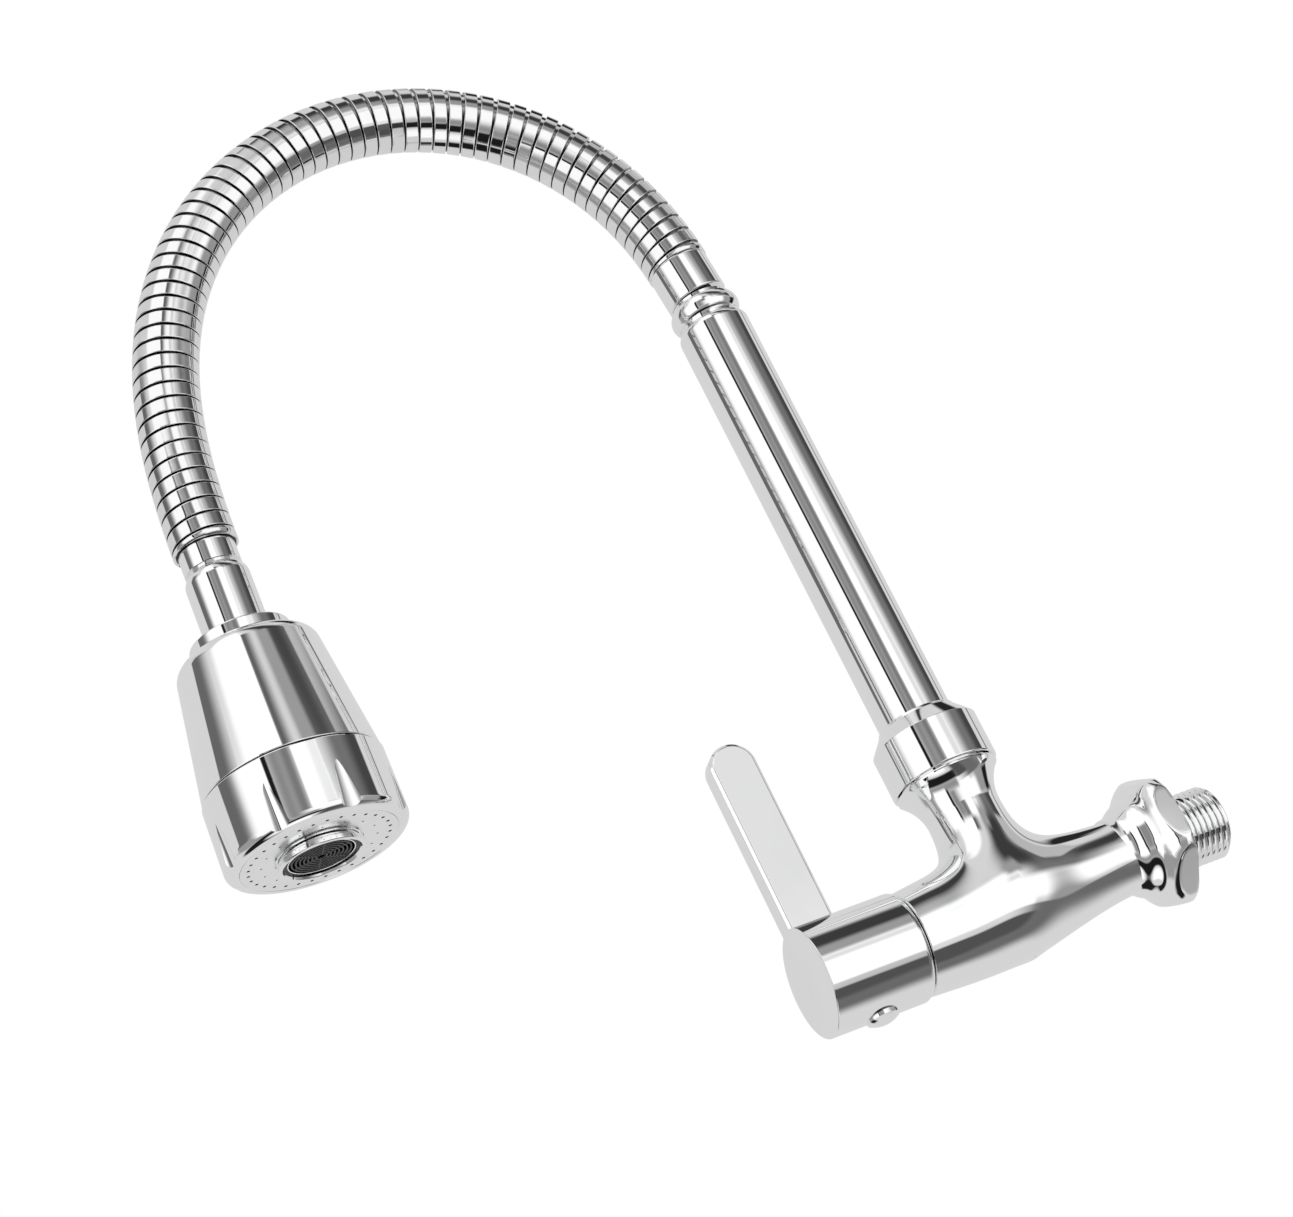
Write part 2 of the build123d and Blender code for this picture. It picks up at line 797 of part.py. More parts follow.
stem_ring_at = bell_end + 6.5
core_ring_at = core_base + 4.0
foot_ring_at = core_end - 3.0
core_seat_d = core_d - 2 * core_ring_cord + 0.4
foot_seat_d = core_foot_d - 2 * core_ring_cord + 0.4
cup_bore_d = core_foot_d + 2 * bearing_gap
collar_thread_d = head_collar_d - 7.2


def lower_ferrule():
    """Crimped sleeve at the hose's lower end."""
    r = lower_ferrule_d / 2
    return turned(hose_end_frame, [
        (inner_hose_d / 2 + seal_gap, 0),
        (r - 0.3, 0),
        (r, 0.3),
        (r, lower_ferrule_len),
        (inner_hose_d / 2 + seal_gap, lower_ferrule_len),
    ])


def neck_bell():
    """Bell shaped hose end whose stem carries the turning head."""
    r = bell_d / 2
    neck = bell_neck_d / 2
    stem = stem_d / 2
    bore = stem_bore_d / 2
    flange_r = stem_flange_d / 2
    low = lower_ferrule_len
    edges = [
        Line((bore, low), (neck, low)),
        Line((neck, low), (neck, bell_base)),
        TangentArc((r, bell_base + bell_round), (neck, bell_base), tangent=(0, -1)),
        Line((r, bell_base + bell_round), (r, bell_end - 0.4)),
        Line((r, bell_end - 0.4), (r - 0.4, bell_end)),
        Line((r - 0.4, bell_end), (stem, bell_end)),
        Line((stem, bell_end), (stem, stem_end - stem_flange_t)),
        Line((stem, stem_end - stem_flange_t), (flange_r, stem_end - stem_flange_t)),
        Line((flange_r, stem_end - stem_flange_t), (flange_r, stem_end)),
        Line((flange_r, stem_end), (bore, stem_end)),
        Line((bore, stem_end), (bore, low)),
    ]
    solid = turned_outline(hose_end_frame, edges)
    solid += ring(hose_end_frame, inner_hose_bore - 2 * seal_gap, barb_bore_d, low - barb_len + 2, low + 1)
    return solid - groove(hose_end_frame, stem_d, stem_seat_d, stem_ring_cord, stem_ring_at)


def stem_ring():
    """Rubber ring that seals the head on its stem."""
    bore = stem_d + 2 * bearing_gap
    return seal_ring(hose_end_frame, stem_seat_d, bore, stem_ring_cord, stem_ring_at)


def head_collar():
    """Screwed collar that holds the head on its stem."""
    r = head_collar_d / 2
    bore = stem_d / 2 + bearing_gap
    foot = stem_end - stem_flange_t - running_gap
    return turned(hose_end_frame, [
        (bore, collar_base),
        (r - 0.5, collar_base),
        (r, collar_base + 0.5),
        (r, collar_end),
        (collar_thread_d / 2, collar_end),
        (collar_thread_d / 2, foot),
        (bore, foot),
    ])


def head_shell():
    """Hollow tapered shell of the spray head."""
    top = shell_top_d / 2
    bottom = shell_bottom_d / 2
    mouth = collar_thread_d / 2 + seal_gap
    crown = shell_base + shell_crown
    boss_end = stem_end - stem_flange_t
    seat = core_d / 2 + seal_gap
    low_bore = bottom - shell_wall
    edges = [
        Line((mouth, shell_base + 0.05), (head_collar_d / 2 + 0.8, shell_base + 0.05)),
        ThreePointArc(
            (head_collar_d / 2 + 0.8, shell_base + 0.05),
            (top - 1.5, shell_base + 1.3),
            (top, crown),
        ),
        Line((top, crown), (bottom, shell_end - 0.3)),
        Line((bottom, shell_end - 0.3), (bottom - 0.3, shell_end)),
        Line((bottom - 0.3, shell_end), (low_bore, shell_end)),
        Line((low_bore, shell_end), (seat + 1.2, core_base + core_top_len)),
        Line((seat + 1.2, core_base + core_top_len), (seat, core_base + core_top_len)),
        Line((seat, core_base + core_top_len), (seat, core_base - seal_gap)),
        Line((seat, core_base - seal_gap), (seat - 1.5, core_base - seal_gap)),
        Line((seat - 1.5, core_base - seal_gap), (mouth + 1.6, boss_end)),
        Line((mouth + 1.6, boss_end), (mouth, boss_end)),
        Line((mouth, boss_end), (mouth, shell_base + 0.05)),
    ]
    return turned_outline(hose_end_frame, edges)


def port_holes(count, radius, diameter, first_angle, low, high):
    """Evenly spaced drillings on a circle about the head's axis."""
    places = [Rot(0, 0, first_angle + 360 * k / count) * Pos(radius, 0, low) for k in range(count)]
    holes = [place * extrude(Circle(diameter / 2), high - low) for place in places]
    return [hose_end_frame * hole for hole in holes]


def spray_core():
    """Fixed core with the channels to the nozzle and to the spray holes, and the centre post."""
    waist_top = core_base + core_top_len - 0.5
    solid = disc(hose_end_frame, core_d, core_base, core_base + core_top_len)
    solid += disc(hose_end_frame, core_waist_d, waist_top, core_end - 1)
    solid += disc(hose_end_frame, core_foot_d, core_end - core_foot_len, core_end)
    solid += disc(hose_end_frame, core_post_d, core_end - 1, nozzle_floor + running_gap)
    solid -= groove(hose_end_frame, core_d, core_seat_d, core_ring_cord, core_ring_at)
    solid -= groove(hose_end_frame, core_foot_d, foot_seat_d, core_ring_cord, foot_ring_at)
    solid -= port_holes(2, inner_port_r, inner_port_d, 0, core_base - 1, core_end + 1)
    solid -= port_holes(3, outer_port_r, outer_port_d, mode_travel, core_base - 1, core_end + 1)
    shank_low = nozzle_floor + running_gap - keeper_shank_len - 0.5
    solid -= disc(hose_end_frame, keeper_shank_d, shank_low, nozzle_floor + 1)
    return solid


def keeper_screw():
    """Screw on the core's post that keeps the turning ring on the head."""
    seat = nozzle_floor + running_gap
    solid = disc(hose_end_frame, keeper_head_d, seat, seat + keeper_head_h)
    solid += disc(hose_end_frame, keeper_shank_d - seal_gap, seat - keeper_shank_len, seat + 0.5)
    slot = Pos(0, 0, seat + keeper_head_h - 0.8) * extrude(Rectangle(2 * keeper_head_d, 1.0), 2)
    return solid - hose_end_frame * slot


def core_ring():
    """Rubber ring that seals the core in the shell."""
    return seal_ring(hose_end_frame, core_seat_d, core_d + 2 * seal_gap, core_ring_cord, core_ring_at)


def foot_ring():
    """Rubber ring between the fixed core and the turning face."""
    return seal_ring(hose_end_frame, foot_seat_d, cup_bore_d, core_ring_cord, foot_ring_at)


def mode_disc():
    """Ported disc that opens either the nozzle or the spray holes as the ring turns."""
    solid = ring(hose_end_frame, mode_disc_d, core_post_d + 2 * bearing_gap, mode_disc_base, mode_disc_end)
    low = mode_disc_base - 1
    high = mode_disc_end + 1
    solid -= port_holes(2, inner_port_r, inner_port_d, 0, low, high)
    solid -= port_holes(3, outer_port_r, outer_port_d, 0, low, high)
    return solid


def flute_tool(index):
    """Cutter for one grip flute, a cone that sinks deeper and wider towards the face."""
    angle = flute_start_angle + index * 360 / flute_count
    tip_r = flute_tip_d / 2
    mouth_r = flute_mouth_d / 2
    tip = ring_end - flute_h
    at_tip = Pos(ring_top_d / 2 + 0.25 + tip_r, 0, tip)
    at_mouth = Pos(ring_bottom_d / 2 - flute_depth + mouth_r, 0, ring_end)
    cone = loft([at_tip * Circle(tip_r), at_mouth * Circle(mouth_r)], ruled=True)
    return hose_end_frame * Rot(0, 0, angle) * cone


def mode_ring():
    """Lower ring of the head, with a rounded edge, grip flutes and a lip under the face."""
    top = ring_top_d / 2
    bottom = ring_bottom_d / 2
    edge = ring_edge_r
    bore = bottom - ring_wall
    lip = bottom - edge - 1.0
    edges = [
        Line((bore, ring_base), (top - 0.3, ring_base)),
        Line((top - 0.3, ring_base), (top, ring_base + 0.3)),
        Line((top, ring_base + 0.3), (bottom, ring_end - edge)),
        RadiusArc((bottom, ring_end - edge), (bottom - edge, ring_end), -edge),
        Line((bottom - edge, ring_end), (lip, ring_end)),
        Line((lip, ring_end), (lip, ring_end - 1.4)),
        Line((lip, ring_end - 1.4), (bore, ring_end - 1.4)),
        Line((bore, ring_end - 1.4), (bore, ring_base)),
    ]
    solid = turned_outline(hose_end_frame, edges)
    for index in range(flute_count):
        solid -= flute_tool(index)
    return solid


def spray_face():
    """Face plate with the spray holes and an inner cup that runs up over the core."""
    lip = ring_bottom_d / 2 - ring_edge_r - 1.0 - seal_gap
    outer = ring_bottom_d / 2 - ring_wall - seal_gap
    hole = nozzle_d / 2 + seal_gap
    cup = cup_bore_d / 2
    cup_outer = cup + cup_wall
    flat = ring_end - seal_gap
    solid = turned(hose_end_frame, [
        (hole, flat),
        (lip, flat),
        (lip, ring_end - 1.4 - seal_gap),
        (outer, ring_end - 1.4 - seal_gap),
        (outer, ring_end - 1.4 - face_t),
        (cup_outer, ring_end - 1.4 - face_t),
        (cup_outer, core_end - core_foot_len + 1.2),
        (cup, core_end - core_foot_len + 1.2),
        (cup, ring_end - face_t),
        (hole, ring_end - face_t),
    ])
    drills = port_holes(spray_hole_count, spray_hole_circle_d / 2, spray_hole_d, 0,
                        ring_end - face_t - 1, ring_end + 1)
    return solid - drills


def nozzle_housing():
    """Turned centre nozzle with a ported floor and the seat for the aerator."""
    outer = nozzle_d / 2
    inner = outer - nozzle_wall
    bore = aerator_d / 2 + seal_gap
    seat = nozzle_end - 9
    throat = inner - 1.0
    solid = turned(hose_end_frame, [
        (core_post_d / 2 + bearing_gap, nozzle_base),
        (outer, nozzle_base),
        (outer, nozzle_end - 0.5),
        (outer - 0.5, nozzle_end),
        (inner - 0.2, nozzle_end),
        (bore, nozzle_end - 0.6),
        (bore, seat),
        (throat, seat),
        (throat, nozzle_floor),
        (core_post_d / 2 + bearing_gap, nozzle_floor),
    ])
    return solid - port_holes(2, inner_port_r, inner_port_d, 0, nozzle_base - 1, nozzle_floor + 1)


def aerator_body():
    """Plastic aerator insert with a drilled floor."""
    seat = nozzle_end - 9 + seal_gap
    top = nozzle_end - 1.2 - screen_t
    solid = ring(hose_end_frame, aerator_d, aerator_d - 3, seat, top)
    solid += disc(hose_end_frame, aerator_d, seat + 2, seat + 3.5)
    return solid - port_holes(6, 6.0, 3.2, 0, seat + 1, seat + 5)


def aerator_screen():
    """Round screen at the nozzle's mouth."""
    top = nozzle_end - 1.2
    return disc(hose_end_frame, aerator_d - 0.4, top - screen_t + seal_gap, top)


def write_all():
    """Build every node and write it."""
    nodes = {
        "valve_body": valve_body(),
        "seat_seal": seat_seal(),
        "fixed_ceramic_disc": fixed_disc(),
        "moving_ceramic_disc": moving_disc(),
        "cartridge_housing": cartridge_housing(),
        "cartridge_ring": cartridge_ring(),
        "spindle": spindle(),
        "spindle_rings": spindle_rings(),
        "spindle_clip": spindle_clip(),
        "control_handle": control_handle(),
        "handle_screw": handle_screw(),
        "screw_plug": screw_plug(),
        "union_nut": union_nut(),
        "riser_spigot": riser_spigot(),
        "riser_rings": riser_rings(),
        "slip_ring": slip_ring(),
        "riser_tube": riser_tube(),
        "hose_connector": hose_connector(),
        "upper_ferrule": upper_ferrule(),
        "lower_ferrule": lower_ferrule(),
        "neck_bell": neck_bell(),
        "stem_ring": stem_ring(),
        "head_collar": head_collar(),
        "head_shell": head_shell(),
        "spray_core": spray_core(),
        "core_ring": core_ring(),
        "foot_ring": foot_ring(),
        "keeper_screw": keeper_screw(),
        "mode_disc": mode_disc(),
        "mode_ring": mode_ring(),
        "spray_face": spray_face(),
        "nozzle_housing": nozzle_housing(),
        "aerator_body": aerator_body(),
        "aerator_screen": aerator_screen(),
    }
    for index in range(segment_count):
        nodes["hose_segment_%02d" % (index + 1)] = hose_segment(index)
        nodes["inner_hose_%02d" % (index + 1)] = inner_hose(index)
    for node, solid in nodes.items():
        save(node, solid)
    for index, (y, z, angle) in enumerate(hose_stations):
        print("hose station", index, round(y, 3), round(z, 3), round(math.degrees(angle), 3))
    print("nozzle end along the head axis", round(nozzle_end, 3))


write_all()
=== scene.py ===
"""Looks of the flexible spout tap: bright chrome pieces on the packed model, with its stage and camera."""
import json
import math
from contextlib import contextmanager
from types import SimpleNamespace

import bmesh
import bpy
import numpy as np
from bpy.props import FloatProperty, FloatVectorProperty, IntProperty, PointerProperty
from mathutils import Matrix


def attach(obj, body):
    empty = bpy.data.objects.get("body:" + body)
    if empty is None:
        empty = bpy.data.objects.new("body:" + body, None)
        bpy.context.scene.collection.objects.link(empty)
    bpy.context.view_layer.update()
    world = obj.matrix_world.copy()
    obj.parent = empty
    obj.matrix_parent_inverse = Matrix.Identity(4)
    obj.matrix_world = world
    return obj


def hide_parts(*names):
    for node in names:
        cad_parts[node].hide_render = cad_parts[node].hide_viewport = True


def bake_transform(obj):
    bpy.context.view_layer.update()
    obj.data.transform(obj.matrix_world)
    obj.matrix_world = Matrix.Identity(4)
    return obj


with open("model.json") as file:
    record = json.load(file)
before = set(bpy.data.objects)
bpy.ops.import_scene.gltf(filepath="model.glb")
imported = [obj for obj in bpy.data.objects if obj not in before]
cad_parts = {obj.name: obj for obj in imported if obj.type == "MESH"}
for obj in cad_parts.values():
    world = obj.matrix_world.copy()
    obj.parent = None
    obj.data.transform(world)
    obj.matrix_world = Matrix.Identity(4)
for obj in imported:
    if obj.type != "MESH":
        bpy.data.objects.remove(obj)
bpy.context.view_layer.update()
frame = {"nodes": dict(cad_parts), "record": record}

bl_info = {
    "name": "Flexible spout tap",
    "version": (1, 0, 0),
    "blender": (4, 5, 0),
    "location": "View3D > Sidebar > Tap",
    "description": "Builds the chrome pieces of a wall tap with a wound goose neck and a spray head",
    "category": "Add Mesh",
}

MM = 0.001
TAU = 2 * math.pi

# places shared with the solids, in millimetres
RISER_REACH = 50.0
HANDLE_DROP = 3.1
BODY_LEN = 82.0
NUT_BASE = 37.6
TUBE_BASE = 50.1
RISER_TOP = 191.0
CONNECTOR_BASE = 192.2
FERRULE_BASE = 199.0
FERRULE_LEN = 13.0
FERRULE_LEAN = 4.5

# bend of the goose neck
LENGTHS = 12
LENGTH = 23.28
CROWN_BEND = 18.5
CROWN_AT = 3.4
ENTRY_EASE = 4.2
EXIT_EASE = 13.9

# stations down the head, from the hose's end
BELL_BASE = 6.8
BELL_END = 27.7
COLLAR_BASE = 28.0
SHELL_BASE = 32.2
STEM_END = 40.7
CORE_BASE = 42.7
SHELL_END = 71.7
RING_BASE = 72.1
RING_END = 93.1
NOZZLE_BASE = 71.83
NOZZLE_END = 95.7

# the waterway's radius behind the valve, the flange's end on the body, and the bore of the hose's sleeves
WATERWAY = 7.0
FLANGE_END = 16.5
SLEEVE_BORE = 5.65

# rounding of the hexagon's edges
EDGE_ROUND = 0.22

# turns in degrees of the flange's hexagon and of the first flute
HEX_TURN = 36.5
FLUTE_TURN = 30.0

# angle in degrees above which an edge stays crisp, and how near the axis a closed end comes
CREASE = 28.0
AXIS_GAP = 0.01

# camera fitted to the photograph, with its place in millimetres
PHOTO_WIDTH = 1293
FOCAL_PIXELS = 3630.0
SENSOR_WIDTH = 36.0
CAMERA_PLACE = (872.73, -448.38, -243.96)
CAMERA_RIGHT = (0.18032665, 0.89277223, -0.41284386)
CAMERA_UP = (0.45869202, 0.29496424, 0.83821103)
CAMERA_BACK = (0.8701057, -0.34051997, -0.35631758)


# lines and outlines

def unit(vector):
    """Vector of length one."""
    vector = np.array(vector, float)
    return vector / np.linalg.norm(vector)


class Axis:
    """A line with its own directions, along which pieces are drawn in millimetres."""

    def __init__(self, origin, along):
        self.origin = np.array(origin, float)
        self.z = unit(along)
        self.x = np.array((1.0, 0.0, 0.0))
        self.y = np.cross(self.z, self.x)

    def place(self, points):
        """Points of this axis in the frame, in metres."""
        return (self.origin + points @ np.stack((self.x, self.y, self.z))) * MM


def hose_stations():
    """Point and lean of the goose neck's centre line at the start of each length and at its end."""
    lean = math.radians(FERRULE_LEAN)
    y = -RISER_REACH - FERRULE_LEN * math.sin(lean)
    z = FERRULE_BASE + FERRULE_LEN * math.cos(lean)
    stations = [(y, z, lean)]
    for index in range(LENGTHS):
        radius = LENGTH / hose_bend(index)
        turn = lean + hose_bend(index)
        y -= radius * (math.cos(lean) - math.cos(turn))
        z += radius * (math.sin(turn) - math.sin(lean))
        lean = turn
        stations.append((y, z, lean))
    return stations


def hose_bend(index):
    """Bend of one length in radians, sharpest near the crown."""
    if index < CROWN_AT:
        return math.radians(CROWN_BEND - ENTRY_EASE * ((CROWN_AT - index) / CROWN_AT) ** 2)
    ease = (index - CROWN_AT) / (LENGTHS - 1 - CROWN_AT)
    return math.radians(CROWN_BEND - EXIT_EASE * ease ** 2)


STATIONS = hose_stations()
END_Y, END_Z, END_LEAN = STATIONS[-1]
INLET = Axis((0, 0, 0), (0, -1, 0))
HANDLE = Axis((0, 0, -HANDLE_DROP), (0, -1, 0))
BARREL = Axis((0, 0, 0), (0, -BODY_LEN, -HANDLE_DROP))
RISER = Axis((0, -RISER_REACH, 0), (0, 0, 1))
FERRULE = Axis((0, -RISER_REACH, FERRULE_BASE),
               (0, -math.sin(math.radians(FERRULE_LEAN)), math.cos(math.radians(FERRULE_LEAN))))
HEAD = Axis((0, END_Y, END_Z), (0, -math.sin(END_LEAN), math.cos(END_LEAN)))


def hose_point(along):
    """Point in metres of the hose's centre line, some way from its start; straight on past both ends."""
    index = min(max(int(along // LENGTH), 0), LENGTHS - 1)
    y, z, lean = STATIONS[index]
    if along < 0:
        return (0, (y - along * math.sin(lean)) * MM, (z + along * math.cos(lean)) * MM)
    extra = max(along - LENGTH * LENGTHS, 0)
    bend = hose_bend(index)
    radius = LENGTH / bend
    turn = lean + bend * (along - extra - index * LENGTH) / LENGTH
    y -= radius * (math.cos(lean) - math.cos(turn)) + extra * math.sin(turn)
    z += radius * (math.sin(turn) - math.sin(lean)) + extra * math.cos(turn)
    return (0, y * MM, z * MM)


def arc_points(centre, radius, first, last, steps):
    """Points along an arc between two angles in radians."""
    angles = np.linspace(first, last, steps + 1)
    return [(centre[0] + radius * math.cos(a), centre[1] + radius * math.sin(a)) for a in angles]


def tangent_arc(start, end, tangent, steps=14):
    """Points of the arc that leaves start along a direction and reaches end."""
    p, q = np.array(start, float), np.array(end, float)
    normal = np.array((-tangent[1], tangent[0])) / math.hypot(*tangent)
    reach = float((q - p) @ (q - p)) / (2 * float((q - p) @ normal))
    centre = p + normal * reach
    first = math.atan2(*(p - centre)[::-1])
    last = math.atan2(*(q - centre)[::-1])
    sweep = (last - first + math.pi) % TAU - math.pi
    return arc_points(centre, abs(reach), first, first + sweep, steps)


def arc_through(a, b, c, steps=14):
    """Points of the arc through three points."""
    (ax, ay), (bx, by), (cx, cy) = a, b, c
    d = 2 * (ax * (by - cy) + bx * (cy - ay) + cx * (ay - by))
    aa, bb, cc = ax * ax + ay * ay, bx * bx + by * by, cx * cx + cy * cy
    centre = ((aa * (by - cy) + bb * (cy - ay) + cc * (ay - by)) / d,
              (aa * (cx - bx) + bb * (ax - cx) + cc * (bx - ax)) / d)
    first = math.atan2(ay - centre[1], ax - centre[0])
    middle = (math.atan2(by - centre[1], bx - centre[0]) - first) % TAU
    sweep = (math.atan2(cy - centre[1], cx - centre[0]) - first) % TAU
    if middle > sweep:
        sweep -= TAU
    return arc_points(centre, math.hypot(ax - centre[0], ay - centre[1]), first, first + sweep, steps)


def rounded(corners, steps=6, hold=0.1):
    """Closed outline in which a corner's third number rounds it, with a row beside each round."""
    points = []
    for index, corner in enumerate(corners):
        p = np.array(corner[:2], float)
        if len(corner) < 3:
            points.append(p)
            continue
        before = np.array(corners[index - 1][:2]) - p
        after = np.array(corners[(index + 1) % len(corners)][:2]) - p
        room = 0.48 * min(np.linalg.norm(before), np.linalg.norm(after))
        before, after = unit(before), unit(after)
        half = math.acos(max(-1.0, min(1.0, float(before @ after)))) / 2
        cut = min(corner[2] / math.tan(half), room)
        centre = p + unit(before + after) * cut / math.cos(half)
        start, end = p + before * cut, p + after * cut
        first = math.atan2(*(start - centre)[::-1])
        sweep = (math.atan2(*(end - centre)[::-1]) - first + math.pi) % TAU - math.pi
        if room > cut + hold:
            points.append(start + before * hold)
        points += arc_points(centre, cut * math.tan(half), first, first + sweep, steps)
        if room > cut + hold:
            points.append(end + after * hold)
    return np.array(points, float)


# meshes

def new_object(name, mesh):
    """Object in the scene that holds a mesh."""
    piece = bpy.data.objects.new(name, mesh)
    bpy.context.scene.collection.objects.link(piece)
    return piece


@contextmanager
def editing(mesh):
    """A mesh open for editing, written back at the end."""
    work = bmesh.new()
    work.from_mesh(mesh)
    yield work
    work.to_mesh(mesh)
    work.free()


def face_outward(work):
    """Turn the faces of a closed mesh outward."""
    bmesh.ops.recalc_face_normals(work, faces=work.faces)
    if work.calc_volume(signed=True) < 0:
        bmesh.ops.reverse_faces(work, faces=work.faces)


def cut_away(work, place, away, near):
    """Cut a mesh by a plane and drop what lies beyond; points nearer than near count as on it."""
    parts = work.verts[:] + work.edges[:] + work.faces[:]
    bmesh.ops.bisect_plane(work, geom=parts, plane_co=place, plane_no=away, clear_outer=True, dist=near)


def crisp(mesh, crease=CREASE):
    """Smooth shading with crisp edges above an angle in degrees."""
    mesh.shade_smooth()
    mesh.set_sharp_from_angle(angle=math.radians(crease))


def solid(name, points, faces, look, crease=CREASE):
    """Closed smooth mesh with crisp edges above the crease angle."""
    mesh = bpy.data.meshes.new(name)
    mesh.from_pydata(points, [], faces)
    with editing(mesh) as work:
        bmesh.ops.remove_doubles(work, verts=work.verts, dist=1e-6)
        face_outward(work)
    crisp(mesh, crease)
    mesh.materials.append(look)
    return new_object(name, mesh)


def grid_solid(name, axis, points, look, crease=CREASE):
    """Closed solid from a grid of points in an axis's own directions, closed round both its ways."""
    columns, rows = points.shape[:2]
    column, row = np.meshgrid(np.arange(columns), np.arange(rows), indexing="ij")
    right, above = (column + 1) % columns, (row + 1) % rows
    quads = np.stack((column * rows + row, right * rows + row,
                      right * rows + above, column * rows + above), -1)
    return solid(name, axis.place(points.reshape(-1, 3)), quads.reshape(-1, 4).tolist(), look, crease)


def turned(name, axis, outline, look, steps=192):
    """Closed solid of revolution from a closed outline of radius and height, with rounded corners."""
    points = rounded(outline)
    angles = np.arange(steps) * TAU / steps
    local = np.empty((steps, len(points), 3))
    local[..., 0] = np.cos(angles)[:, None] * points[:, 0]
    local[..., 1] = np.sin(angles)[:, None] * points[:, 0]
    local[..., 2] = points[:, 1]
    return grid_solid(name, axis, local, look)


def wire(name, points, closed, gap=None):
    """Helper object with a chain of edges for a node tree; gap is how deep in a gap each point lies, the
    mask of the painted shade in the hose's gaps.
    """
    count = len(points)
    mesh = bpy.data.meshes.new(name)
    mesh.from_pydata(points, [(i, (i + 1) % count) for i in range(count if closed else count - 1)], [])
    if gap is not None:
        mesh.attributes.new("gap", "FLOAT", "POINT").data.foreach_set("value", [float(g) for g in gap])
    return new_object(name, mesh)


def evaluated(piece, name, crease, *helpers):
    """Plain mesh object made from what a piece's node tree gives; the piece and its helpers go."""
    bpy.context.view_layer.update()
    mesh = bpy.data.meshes.new_from_object(piece.evaluated_get(bpy.context.evaluated_depsgraph_get()))
    if not len(mesh.polygons):
        raise RuntimeError("the tree of " + name + " gave no faces")
    crisp(mesh, crease)
    for used in (piece, *helpers):
        bpy.data.objects.remove(used)
    mesh.name = name
    return new_object(name, mesh)


def settle(piece, body, slot, *nodes):
    """Put a finished piece on its body, and hide the solids that it stands for; slot is not used."""
    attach(piece, body)
    if nodes:
        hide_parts(*nodes)


# node trees

class Nodes:
    """Node tree under construction."""

    def __init__(self, tree):
        self.tree = tree

    def add(self, kind, *links, **settings):
        """Add a node; links feed its first inputs, settings are its properties, or inputs by name."""
        node = self.tree.nodes.new(kind)
        for key in [key for key in settings if hasattr(node, key)]:
            setattr(node, key, settings.pop(key))
        for key, value in settings.items():
            self.feed(node.inputs[key.replace("_", " ")], value)
        for socket, value in zip(node.inputs, links):
            if value is not None:
                self.feed(socket, value)
        return node

    def feed(self, socket, value):
        """Link a socket, or set its value."""
        if isinstance(value, bpy.types.Node):
            value = value.outputs[0]
        if isinstance(value, bpy.types.NodeSocket):
            self.tree.links.new(value, socket)
        else:
            socket.default_value = value

    def math(self, operation, *values):
        """One Math node."""
        return self.add("ShaderNodeMath", *values, operation=operation)

    def product(self, *values):
        """Product of two or more numbers."""
        first, second, *rest = values
        made = self.math("MULTIPLY", first, second)
        return self.product(made, *rest) if rest else made

    def vector(self, operation, *values, **settings):
        """One Vector Math node."""
        return self.add("ShaderNodeVectorMath", *values, operation=operation, **settings)


class Tree(Nodes):
    """Geometry Nodes tree with named inputs."""

    def __init__(self, name):
        super().__init__(bpy.data.node_groups.new(name, "GeometryNodeTree"))
        self.inputs = self.tree.nodes.new("NodeGroupInput")
        self.outputs = self.tree.nodes.new("NodeGroupOutput")
        self.sockets = {}
        self.input("Geometry", "Geometry")
        self.tree.interface.new_socket("Geometry", in_out="OUTPUT", socket_type="NodeSocketGeometry")

    def input(self, name, kind, value=None):
        """Add a named input and return its socket inside the tree."""
        made = self.tree.interface.new_socket(name, in_out="INPUT", socket_type="NodeSocket" + kind)
        if value is not None:
            made.default_value = value
        self.sockets[name] = made.identifier
        return self.inputs.outputs[name]

    def finish(self, geometry, material):
        """End the tree with real geometry and its material."""
        real = self.add("GeometryNodeRealizeInstances", geometry)
        self.feed(self.outputs.inputs[0], self.add("GeometryNodeSetMaterial", real, Material=material))
        return self

    def apply(self, piece, **values):
        """Put the tree on an object, with its inputs set by their identifiers."""
        modifier = piece.modifiers.new("Shape", "NODES")
        modifier.node_group = self.tree
        for key, value in values.items():
            modifier[self.sockets[key.replace("_", " ")]] = value
        return piece


